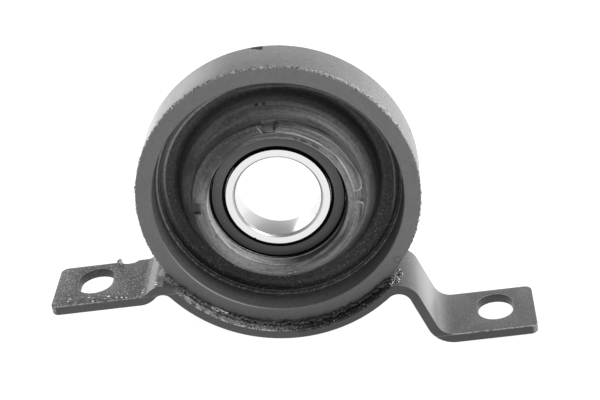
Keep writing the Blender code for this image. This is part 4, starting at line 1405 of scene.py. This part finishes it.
def strap_blank():
    """The bent strip before its holes, with rounded corners at the feet's ends."""
    shape = bmesh.new()
    stations = []
    for x, z, heading in strap_path():
        station = []
        corners = ((1, STRAP_FRONT), (1, STRAP_REAR), (-1, STRAP_REAR), (-1, STRAP_FRONT))
        for side, along in corners:
            offset = side * STRAP_THICKNESS / 2
            place = (x - offset * math.sin(heading), along, z + offset * math.cos(heading))
            station.append(shape.verts.new(SHAFT + Vector(place)))
        stations.append(station)
    bridge(shape, stations)
    corners = []
    for station in (stations[0], stations[-1]):
        corners.append(shape.edges.get((station[0], station[3])))
        corners.append(shape.edges.get((station[1], station[2])))
    bmesh.ops.bevel(
        shape,
        geom=corners,
        offset=FOOT_CORNER,
        offset_type="OFFSET",
        segments=12,
        profile=0.5,
        affect="EDGES",
    )
    bmesh.ops.recalc_face_normals(shape, faces=shape.faces)
    return object_from("strap_blank", shape)


def upright_cutter(name, outline, middle_z):
    """A closed outline in plan, extruded well past the strap's thickness."""
    shape = bmesh.new()
    reach = 2 * STRAP_THICKNESS
    rings = []
    for height in (middle_z - reach, middle_z + reach):
        rings.append([shape.verts.new(SHAFT + Vector((x, y, height))) for x, y in outline])
    bridge(shape, rings)
    bmesh.ops.recalc_face_normals(shape, faces=shape.faces)
    return object_from(name, shape)


def slot_outline(centre_x):
    points = []
    steps = 32
    for end in (1, -1):
        for step in range(steps + 1):
            angle = math.pi * step / steps
            across = SLOT_WIDTH / 2 * math.cos(angle)
            up = SLOT_STRAIGHT + SLOT_WIDTH / 2 * math.sin(angle)
            points.append((centre_x + end * across, SLOT_AT + end * up))
    return points


def chip_outline():
    """The bite out of the left foot's rear edge, torn a little unevenly."""
    points = []
    steps = 48
    for step in range(steps):
        angle = 2 * math.pi * step / steps
        radius = CHIP_RADIUS * (1 + 0.02 * math.sin(5 * angle) + 0.015 * math.sin(11 * angle + 1))
        x = -LEFT_LEG.bend_end - CHIP_FROM_BEND + radius * math.cos(angle)
        points.append((x, STRAP_REAR + CHIP_RADIUS - CHIP_DEPTH + radius * math.sin(angle)))
    return points


class MakeStrap(bpy.types.Operator):
    """Makes the bent strap with its slotted feet"""

    bl_idname = "centre_bearing.make_strap"
    bl_label = "Strap"

    def execute(self, context):
        chosen = settings("bearing_strap")
        finish = coat_finish("strap_coat", list(chosen.coat), list(chosen.scuff), chosen.speck)
        strap = strap_blank()
        cutters = (
            ("left_slot", slot_outline(-LEFT_LEG.slot_x), LEFT_LEG.foot_z),
            ("right_slot", slot_outline(RIGHT_LEG.slot_x), RIGHT_LEG.foot_z),
            ("chip", chip_outline(), LEFT_LEG.foot_z),
        )
        for name, outline, height in cutters:
            strap = cut_out(strap, upright_cutter(name, outline, height))
        edge = strap.modifiers.new("edges", "BEVEL")
        edge.width = chosen.edge
        edge.segments = 3
        edge.limit_method = "ANGLE"
        edge.angle_limit = math.radians(50)
        strap = plain(strap, "strap")
        smooth(strap.data)
        strap.data.materials.append(finish)
        finished(strap, HOUSING, "strap_coat", "bracket_strap")
        torn = crumb_finish("foot_burr", 0.004, 0.8, 0.50)
        make_foot_burr(torn)
        x, z = CRUMBS_X, LEFT_LEG.foot_z + STRAP_THICKNESS / 2 + 0.0003
        turn = math.degrees(math.atan2(x, -z))
        look = crumb_finish("torn_metal", 0.02, 0.8, 0.6)
        holder = scatter_crumbs(
            "foot_flakes", look, count=26, first=turn - 0.5, last=turn + 0.3,
            radius=math.hypot(x, z), deep=0.0016, along=STRAP_REAR - 0.0014, wide=0.0015,
            sizes=(0.0002, 0.0010), flat=0.25, seed=5,
        )
        finished(plain(holder, "foot_flakes"), HOUSING, "strap_coat")
        return {"FINISHED"}


def make_foot_burr(finish):
    """The curled flake of metal that stands at the chip's left end."""
    shape = bmesh.new()
    start = Vector((BURR_X, STRAP_REAR - 0.0006, LEFT_LEG.foot_z + STRAP_THICKNESS / 2))
    rings = []
    steps = 18
    for step in range(steps + 1):
        angle = BURR_CURL * step / steps
        radius = BURR_RADIUS - BURR_TIGHTENING * step / steps
        middle = start + Vector(
            (BURR_DRIFT * step / steps, -radius * math.sin(angle), radius * (1 - math.cos(angle)))
        )
        inward = Vector((0, math.sin(angle), math.cos(angle))) * BURR_SHEET
        half = Vector((BURR_HALF_WIDTH - BURR_NARROWING * step / steps, 0, 0))
        corners = (middle - half, middle + half, middle + half + inward, middle - half + inward)
        rings.append([shape.verts.new(SHAFT + corner) for corner in corners])
    bridge(shape, rings)
    bmesh.ops.recalc_face_normals(shape, faces=shape.faces)
    burr = object_from("foot_burr", shape)
    smooth(burr.data, 60)
    burr.data.materials.append(finish)
    finished(burr, HOUSING, "strap_coat")


class MakeRing(bpy.types.Operator):
    """Makes the steel ring around the rubber"""

    bl_idname = "centre_bearing.make_ring"
    bl_label = "Outer ring"

    def execute(self, context):
        chosen = settings("bearing_ring")
        corners = [
            (RING_OUTER, RING_REAR, chosen.edge, 0.00006),
            (RING_OUTER, RING_FRONT, 0.0002),
            (RING_BORE, RING_FRONT, 0),
            (RING_BORE, RING_REAR, chosen.edge),
        ]
        ring = turned("outer_ring_coated", corners, ring_finish("ring_coat", list(chosen.coat)))
        finished(ring, HOUSING, "ring_coat", "outer_ring")
        return {"FINISHED"}


def rubber_corners(flash):
    """The rubber's section, from the rim across the groove to the hub, and back behind it."""
    valley_leg = CREST - 0.0015
    web_top = GROOVE_INNER - 0.0030
    return [
        (RING_OUTER, 0, 0.00025, 0.00020),
        (RING_OUTER - 0.0008, 0, 0, 0.00004),
        (RIM_INNER + 0.0012, 0, 0),
        (RIM_INNER, 0, 0.0008),
        (WALL + 0.0008, PARTING_AT - 0.0005, 0),
        (WALL + 0.0007, PARTING_AT - 0.00025, 0, 0.00008),
        (WALL + 0.0004 - flash, PARTING_AT - 0.0001, 0, 0.00040),
        (WALL, PARTING_AT + 0.0001, 0, 0.00005),
        (WALL - 0.0002, PARTING_AT + 0.0011, 0, 0.00005),
        (WALL - 0.0006, PARTING_AT + 0.0014, 0, 0.00030),
        (WALL - 0.0003, PARTING_AT + 0.0017, 0, 0.00005),
        (GROOVE_OUTER, GROOVE_AT, 0.0028),
        (GROOVE_INNER, GROOVE_AT, 0.0028),
        (CREST, CREST_AT, 0.0012),
        (HUB_CONE, HUB_CONE_AT, 0.0012),
        (HUB_EDGE, -HUB_PROUD + 0.0014, 0.0007),
        (RACE_OUTER, -HUB_PROUD, 0.0006),
        (HUB_MOUTH + 0.0004, -HUB_PROUD + 0.0004, 0.0003),
        (HUB_MOUTH, BEARING_FRONT - GAP, 0),
        (SLEEVE_FLANGE - GAP, BEARING_FRONT - GAP, 0),
        (SLEEVE_FLANGE - GAP, SLEEVE_FRONT - GAP, 0),
        (RUBBER_BORE, SLEEVE_FRONT - GAP, 0),
        (RUBBER_BORE, SLEEVE_REAR - GAP, 0),
        (RUBBER_BORE + 0.0034, SLEEVE_REAR - GAP, 0.0006),
        (RUBBER_BORE + 0.0034, WEB_VALLEY, 0.0006),
        (valley_leg, WEB_VALLEY, 0.0006),
        (web_top, WEB_REAR, 0.0028),
        (WALL, WEB_REAR, 0.0014),
        (RIM_INNER, RING_REAR - GAP, 0.0004),
        (RUBBER_OUTER, RING_REAR - GAP, 0),
        (RUBBER_OUTER, 0.0007, 0),
        (RING_OUTER, 0.0007, 0),
    ]


def notch_outline():
    """A notch seen from the front, as (across, radius): its mouth flares between round corners."""
    side = []
    steps = 8
    for step in range(steps + 1):
        angle = math.radians(85) * step / steps
        across = NOTCH_WIDTH / 2 + NOTCH_CORNER * (1 - math.cos(angle))
        side.append((across, HUB_EDGE - 0.0013 + NOTCH_CORNER * math.sin(angle)))
    side.append((NOTCH_WIDTH, HUB_CONE + 0.0012))
    foot = RACE_OUTER + 0.0003
    right = [(NOTCH_WIDTH / 2 - 0.0004, foot), (NOTCH_WIDTH / 2, foot + 0.0004), *side]
    return right + [(-across, radius) for across, radius in reversed(right)]


def notch_cutter(finish):
    """Cutters whose sloping floors rise from the hub's cone to its front edge.

    Flash fills the notch at the bottom, so only three are cut: left, top and right."""
    shape = bmesh.new()
    front, back = [], []
    for across, radius in notch_outline():
        floor = -HUB_PROUD + NOTCH_LIP + (radius - RACE_OUTER) * math.tan(NOTCH_SLOPE)
        front.append(shape.verts.new((radius, -HUB_PROUD - 0.0010, across)))
        back.append(shape.verts.new((radius, floor, across)))
    bridge(shape, (front, back))
    bmesh.ops.triangulate(shape, faces=shape.faces)
    bmesh.ops.recalc_face_normals(shape, faces=shape.faces)
    wedge = object_from("notch", shape)
    holder = empty_holder("notches_source")
    start = NOTCH_TURN + math.pi
    tree(set_round_shape).put_on(
        holder, Piece=wedge, Count=3, Sweep=math.pi * 1.5, Start=start, Axis=SHAFT, Finish=finish
    )
    cutter = plain(holder, "notches")
    bpy.data.objects.remove(wedge)
    return cutter


class MakeRubber(bpy.types.Operator):
    """Makes the moulded rubber ring and the crumbs of flash round its rim"""

    bl_idname = "centre_bearing.make_rubber"
    bl_label = "Rubber"

    def execute(self, context):
        chosen = settings("bearing_rubber")
        finish = rubber_finish("moulded_rubber", list(chosen.tone))
        rubber = turned("rubber_ring", rubber_corners(chosen.flash), finish)
        rubber = cut_out(rubber, notch_cutter(finish))
        smooth(rubber.data)
        finished(rubber, HOUSING, "moulded_rubber", "rubber_mount")
        look = crumb_finish("flash_crumbs", 0.03, 0.45, 0.55)
        crumbs = scatter_crumbs(
            "rim_flash_crumbs", look, count=chosen.crumbs, first=60, last=300,
            radius=RING_OUTER - 0.00003, deep=0.00025, along=0.0009, wide=0.0010,
            sizes=(0.00012, 0.00065), flat=0.4, seed=11,
        )
        finished(plain(crumbs, "rim_flash_crumbs"), HOUSING, "moulded_rubber")
        return {"FINISHED"}


class MakeSleeve(bpy.types.Operator):
    """Makes the pressed sleeve around the bearing"""

    bl_idname = "centre_bearing.make_sleeve"
    bl_label = "Sleeve"

    def execute(self, context):
        corners = [
            (SLEEVE_OUTER, SLEEVE_REAR, 0.0003),
            (SLEEVE_OUTER, SLEEVE_FRONT, 0.0004),
            (SLEEVE_FLANGE, SLEEVE_FRONT, 0.0002),
            (SLEEVE_FLANGE, SLEEVE_FRONT + 0.0012, 0.0002),
            (SLEEVE_BORE, SLEEVE_FRONT + 0.0012, 0),
            (SLEEVE_BORE, SLEEVE_REAR, 0.0003),
        ]
        finish = steel_finish("pressed_sleeve_steel", grey_tone(0.5), 0.32, 0.0008)
        sleeve = turned("sleeve", corners, finish, SMALL_TURN_STEPS)
        finished(sleeve, HOUSING, "pressed_steel", "bearing_sleeve")
        return {"FINISHED"}


class MakeRaces(bpy.types.Operator):
    """Makes the inner and the outer race"""

    bl_idname = "centre_bearing.make_races"
    bl_label = "Races"

    def execute(self, context):
        tone = list(settings("bearing_bearing").steel)
        chamfer = 0.0006
        bore_edge = 0.0009
        inner = [
            (LAND, HALF_WIDTH, 0.0002),
            (LAND, SEAL_SEAT, 0),
            (INNER_SHOULDER, SEAL_SEAT, 0.0001),
            *raceway(-1),
            (INNER_SHOULDER, -SEAL_SEAT, 0.0001),
            (LAND, -SEAL_SEAT, 0),
            (LAND, -HALF_WIDTH, 0.0002),
            (BORE + bore_edge, -HALF_WIDTH, 0.0003),
            (BORE, -HALF_WIDTH + bore_edge, 0.0005),
            (BORE, HALF_WIDTH - bore_edge, 0.0005),
            (BORE + bore_edge, HALF_WIDTH, 0.0003),
        ]
        outer = [
            (RACE_OUTER, HALF_WIDTH, chamfer),
            (RACE_OUTER, -HALF_WIDTH, chamfer),
            (RECESS, -HALF_WIDTH, 0.0001),
            (RECESS, -SEAL_SEAT, 0),
            (OUTER_SHOULDER, -SEAL_SEAT, 0.0001),
            *reversed(raceway(1)),
            (OUTER_SHOULDER, SEAL_SEAT, 0.0001),
            (RECESS, SEAL_SEAT, 0),
            (RECESS, HALF_WIDTH, 0.0001),
        ]
        finish = race_finish("ground_steel", tone)
        made = turned("inner_race_ground", at_bearing(inner), finish, SMALL_TURN_STEPS, sharp=24)
        finished(made, INNER_RACE, "ground_steel", "bearing_inner_race")
        made = turned("outer_race_ground", at_bearing(outer), finish, SMALL_TURN_STEPS, sharp=24)
        finished(made, HOUSING, "ground_steel", "bearing_outer_race")
        return {"FINISHED"}


class MakeSeals(bpy.types.Operator):
    """Makes the front and the rear seal"""

    bl_idname = "centre_bearing.make_seals"
    bl_label = "Seals"

    def execute(self, context):
        finish = seal_finish("seal_rubber", list(settings("bearing_bearing").seal))
        rim = RECESS - 0.00035
        lip = LAND + 0.00035
        lip_face = SEAL_FACE - 0.0009
        section = [
            (rim, SEAL_BACK, 0),
            (rim, SEAL_FACE, 0.00025),
            (SEAL_BODY, SEAL_FACE, 0.0002),
            (SEAL_BODY - 0.0002, lip_face, 0.0001),
            (lip, lip_face, 0.0001),
            (lip, SEAL_BACK, 0),
        ]
        front = [(corner[0], -corner[1], corner[2]) for corner in section]
        for name, corners in (("front_seal", front), ("rear_seal", section)):
            made = turned(name + "_moulded", at_bearing(corners), finish, SMALL_TURN_STEPS)
            finished(made, HOUSING, "seal_rubber", name)
        return {"FINISHED"}


def on_pitch_circle(turn):
    return SHAFT + Vector((PITCH * math.cos(turn), BEARING_CENTRE, -PITCH * math.sin(turn)))


class MakeCage(bpy.types.Operator):
    """Finishes the cage's halves and makes its rivets"""

    bl_idname = "centre_bearing.make_cage"
    bl_label = "Cage"

    def execute(self, context):
        finish = steel_finish("pressed_cage_steel", grey_tone(0.55), 0.3, 0.0006)
        for name in ("cage_front_half", "cage_rear_half"):
            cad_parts[name].data.materials.clear()
            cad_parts[name].data.materials.append(finish)
        under = GAP / 2 + CAGE_SHEET + GAP
        top = under + 0.0005
        shape = bmesh.new()
        profile = rounded(
            [
                (0, top, 0),
                (RIVET_HEAD, top, 0.0004),
                (RIVET_HEAD, under, 0),
                (RIVET_SHANK, under, 0),
                (RIVET_SHANK, -under, 0),
                (RIVET_HEAD, -under, 0),
                (RIVET_HEAD, -top, 0.0004),
                (0, -top, 0),
            ]
        )
        points = [shape.verts.new((radius, along, 0)) for radius, along, _ in profile]
        line = [shape.edges.new(pair) for pair in zip(points, points[1:])]
        bmesh.ops.spin(
            shape,
            geom=points + line,
            cent=(0, 0, 0),
            axis=(0, 1, 0),
            angle=2 * math.pi,
            steps=24,
            use_merge=True,
        )
        bmesh.ops.remove_doubles(shape, verts=shape.verts, dist=MERGE)
        bmesh.ops.recalc_face_normals(shape, faces=shape.faces)
        bmesh.ops.translate(shape, verts=shape.verts, vec=(PITCH, BEARING_CENTRE, 0))
        rivet = object_from("rivet", shape)
        holder = empty_holder("rivet_source")
        tree(set_round_shape).put_on(
            holder,
            Piece=rivet,
            Count=BALL_COUNT,
            Start=math.pi / BALL_COUNT,
            Sweep=2 * math.pi,
            Axis=SHAFT,
            Finish=finish,
        )
        rivets = plain(holder, "cage_rivets")
        bpy.data.objects.remove(rivet)
        smooth(rivets.data)
        nodes = [f"cage_rivet_{number + 1:02d}" for number in range(BALL_COUNT)]
        finished(rivets, CAGE, "pressed_steel", *nodes)
        return {"FINISHED"}


class MakeBalls(bpy.types.Operator):
    """Makes the balls, each on its own body"""

    bl_idname = "centre_bearing.make_balls"
    bl_label = "Balls"

    def execute(self, context):
        finish = steel_finish("ball_steel", list(settings("bearing_bearing").steel), 0.08, 0.0012)
        for number in range(BALL_COUNT):
            name = f"ball_{number + 1:02d}"
            holder = empty_holder(name + "_source")
            at = on_pitch_circle(2 * math.pi * number / BALL_COUNT)
            tree(ball_shape).put_on(holder, Radius=BALL, At=at, Finish=finish)
            finished(plain(holder, name + "_polished"), name, "ground_steel", name)
        return {"FINISHED"}


def scatter_crumbs(
    name, finish, count, first, last, radius, deep, along, wide, sizes, flat, seed, wander=0.0
):
    """Crumbs along an arc about the shaft, between two turns given in degrees."""
    holder = empty_holder(name + "_source")
    tree(crumb_shape).put_on(
        holder,
        Count=count,
        First_Turn=math.radians(first),
        Last_Turn=math.radians(last),
        Radius=radius,
        Radial_Spread=deep,
        Along=along,
        Along_Spread=wide,
        Smallest=sizes[0],
        Largest=sizes[1],
        Flatness=flat,
        Wander=wander,
        Seed=seed,
        Axis=SHAFT,
        Finish=finish,
    )
    return holder


def weld_bead(name, finish, seed, along, wide, node):
    """Overlapping lumps along the strap's arc and in the wedges at its ends, under one skin."""
    chosen = settings("bearing_weld")
    sizes = (chosen.lump * 0.45, chosen.lump)
    first = -math.degrees(LEFT_LEG.arc_end)
    last = math.degrees(RIGHT_LEG.arc_end)
    runs = (
        ("arc", chosen.lumps, first + 1.0, last + 4.0, RING_OUTER - 0.0006, 0.0009, seed),
        ("left", 130, -61.5, first + 3.0, RING_OUTER + 0.0008, 0.0011, seed + 100),
        ("right", 60, last - 2.0, last + 5.0, RING_OUTER + 0.0010, 0.0012, seed + 200),
    )
    parts = []
    for part, count, start, end, radius, deep, draw in runs:
        holder = scatter_crumbs(
            f"{name}_{part}", finish, count, start, end, radius, deep, along, wide, sizes,
            0.55, draw, wander=0.0011,
        )
        parts.append(plain(holder, f"{name}_{part}"))
    bead = joined(name + "_lumps", parts)
    skin = bead.modifiers.new("one skin", "REMESH")
    skin.mode = "VOXEL"
    skin.voxel_size = BEAD_VOXEL
    skin.use_smooth_shade = True
    bead = plain(bead, name)
    bead.data.materials.clear()
    bead.data.materials.append(finish)
    finished(bead, HOUSING, "bead", node)


class MakeWeld(bpy.types.Operator):
    """Makes the weld beads between ring and strap, and the spatter beside them"""

    bl_idname = "centre_bearing.make_weld"
    bl_label = "Weld beads"

    def execute(self, context):
        finish = slag_finish("slag", list(settings("bearing_weld").tone))
        weld_bead("front_bead_slag", finish, 3, -0.0014, 0.0011, "front_weld_bead")
        weld_bead("rear_bead_slag", finish, 31, RING_REAR + BEAD_FROM_RING, 0.0010, "rear_weld_bead")
        bright = crumb_finish("spatter", 0.01, 0.80, 0.49)
        # Name, count, turns, radius and its spread, place along and its spread, largest size
        clusters = (
            ("spatter_right", 220, 42, 50, 0.0596, 0.0016, -0.0024, 0.0022, 0.00075),
            ("spatter_left", 260, -54, -8, 0.0584, 0.0004, -0.0036, 0.0012, 0.00032),
            ("spatter_below", 200, -24, 30, 0.0583, 0.0003, -0.0044, 0.0010, 0.00028),
        )
        for name, count, first, last, radius, deep, along, wide, largest in clusters:
            sizes = (largest * 0.25, largest)
            holder = scatter_crumbs(
                name, bright, count, first, last, radius, deep, along, wide, sizes, 0.35, count
            )
            finished(plain(holder, name), HOUSING, "bead")
        return {"FINISHED"}


# Camera, worked out from the photograph's ellipses and edges
CAMERA_AZIMUTH = math.radians(1.70)
CAMERA_ELEVATION = math.radians(27.05)
CAMERA_ROLL = math.radians(8.55)
CAMERA_PLACE = Vector((0.07539, -0.63071, 0.38238))

# Name, azimuth and elevation in degrees, distance, width and height, radiance
LIGHTS = (
    ("key softbox", 138, 36, 0.95, (0.55, 0.55), 4.2),
    ("back left panel", -31, 15, 1.2, (0.45, 0.6), 1.3),
    ("right panel", 68, 20, 0.9, (0.5, 0.4), 5.2),
    ("left panel", -75, 20, 1.0, (0.5, 0.4), 2.2),
)
FLOOR_REACH = 6.0


def camera_matrix():
    """The camera looks down at the part, and is rolled against it as the photograph shows."""
    azimuth, elevation = CAMERA_AZIMUTH, CAMERA_ELEVATION
    right = Vector((math.cos(azimuth), math.sin(azimuth), 0))
    back = Vector(
        (
            math.sin(azimuth) * math.cos(elevation),
            -math.cos(azimuth) * math.cos(elevation),
            math.sin(elevation),
        )
    )
    up = back.cross(right)
    to_part = Matrix.Rotation(CAMERA_ROLL, 3, "Y")
    turn = Matrix([to_part @ right, to_part @ up, to_part @ back]).transposed()
    return Matrix.Translation(CAMERA_PLACE) @ turn.to_4x4()


def floor_lean():
    """The turn of a floor that touches the strap's arc and the bend above the right foot."""
    across = RIGHT_LEG.bend_end
    up = RIGHT_LEG.foot_z + RIGHT_LEG.lower
    slack = (RIGHT_LEG.lower - STRAP_MIDDLE) / math.hypot(across, up)
    return math.atan2(across, up) - math.acos(slack)


def make_floor(chosen):
    """A wide pale floor, turned as the part lies on it: on the arc and the right foot."""
    finish = Finish("floor")
    cloud = finish.noise(0.4, 2.0)
    tone = list(chosen.floor)
    base = finish.mix(cloud * 0.3, tone, shaded(tone, 0.985))
    material = finish.surface(
        Base_Color=base,
        Roughness=0.8,
        Emission_Color=grey_tone(1.0),
        Emission_Strength=chosen.glow,
    )
    lean = floor_lean()
    down = Vector((-math.sin(lean), 0, -math.cos(lean)))
    lowest = SHAFT + down * (STRAP_BORE + STRAP_THICKNESS)
    mesh = bpy.data.meshes.new("floor")
    sideways = Vector((math.cos(lean), 0, -math.sin(lean)))
    ahead = Vector((0, 1, 0))
    signs = ((-1, -1), (1, -1), (1, 1), (-1, 1))
    corners = [
        lowest + FLOOR_REACH * (across * sideways + deep * ahead) for across, deep in signs
    ]
    mesh.from_pydata(corners, [], [(0, 1, 2, 3)])
    mesh.materials.append(material)
    new_object("floor", mesh)


def make_light(name, azimuth, elevation, distance, size, radiance):
    """A softbox that faces the part. Azimuth 0 is behind it, and counts to the right."""
    turn, rise = math.radians(azimuth), math.radians(elevation)
    flat = math.cos(rise)
    place = SHAFT + distance * Vector(
        (math.sin(turn) * flat, math.cos(turn) * flat, math.sin(rise))
    )
    data = bpy.data.lights.new(name, "AREA")
    data.shape = "RECTANGLE"
    data.size, data.size_y = size
    data.energy = radiance * math.pi * size[0] * size[1]
    light = bpy.data.objects.new(name, data)
    bpy.context.scene.collection.objects.link(light)
    light.location = place
    light.rotation_euler = (SHAFT - place).to_track_quat("-Z", "Y").to_euler()


def make_walls(chosen):
    """The studio's walls: bright near the floor, and darker towards the ceiling."""
    world = bpy.data.worlds.new("studio")
    world.use_nodes = True
    graph = Graph(world.node_tree)
    lean = floor_lean()
    sight = graph.add("ShaderNodeTexCoord", out="Generated")
    up = (math.sin(lean), 0.0, math.cos(lean))
    height = graph.add(
        "ShaderNodeVectorMath", {"operation": "DOT_PRODUCT"}, {0: sight, 1: up}, out="Value"
    )
    grey = graph.ramp(height, (0.0, 1.0), (0.20, 0.88), (0.42, 0.50), (0.70, 0.32), (1.0, 0.30))
    background = world.node_tree.nodes["Background"]
    graph.feed(background, {"Color": grey, "Strength": chosen.walls})
    bpy.context.scene.world = world


class MakeStage(bpy.types.Operator):
    """Makes the pale floor, the soft lights and the camera"""

    bl_idname = "centre_bearing.make_stage"
    bl_label = "Stage"

    def execute(self, context):
        chosen = settings("bearing_stage")
        scene = context.scene
        make_floor(chosen)
        for light in LIGHTS:
            make_light(*light)
        make_walls(chosen)
        data = bpy.data.cameras.new("camera")
        data.lens = chosen.lens
        data.sensor_width = 36.0
        data.clip_start = 0.01
        camera = bpy.data.objects.new("camera", data)
        scene.collection.objects.link(camera)
        camera.matrix_world = camera_matrix()
        scene.camera = camera
        scene.view_settings.view_transform = "Standard"
        return {"FINISHED"}


PIECE_OPERATORS = (
    MakeStrap,
    MakeRing,
    MakeRubber,
    MakeSleeve,
    MakeRaces,
    MakeSeals,
    MakeCage,
    MakeBalls,
    MakeWeld,
    MakeStage,
)


class CENTRE_BEARING_PT_pieces(bpy.types.Panel):
    """Lists the pieces that can be made"""

    bl_label = "Centre bearing"
    bl_space_type = "VIEW_3D"
    bl_region_type = "UI"
    bl_category = "Centre bearing"

    def draw(self, context):
        for operator in PIECE_OPERATORS:
            self.layout.operator(operator.bl_idname)
        for group, kind in SETTINGS.items():
            box = self.layout.box()
            for name in kind.__annotations__:
                box.prop(getattr(context.scene, group), name)


def register():
    for kind in (*SETTINGS.values(), *PIECE_OPERATORS, CENTRE_BEARING_PT_pieces):
        bpy.utils.register_class(kind)
    for group, kind in SETTINGS.items():
        setattr(bpy.types.Scene, group, bpy.props.PointerProperty(type=kind))


def unregister():
    for group in SETTINGS:
        delattr(bpy.types.Scene, group)
    for kind in (CENTRE_BEARING_PT_pieces, *reversed(PIECE_OPERATORS), *SETTINGS.values()):
        bpy.utils.unregister_class(kind)


def main():
    register()
    for operator in PIECE_OPERATORS:
        group, name = operator.bl_idname.split(".")
        getattr(getattr(bpy.ops, group), name)()


if __name__ == "__main__":
    main()
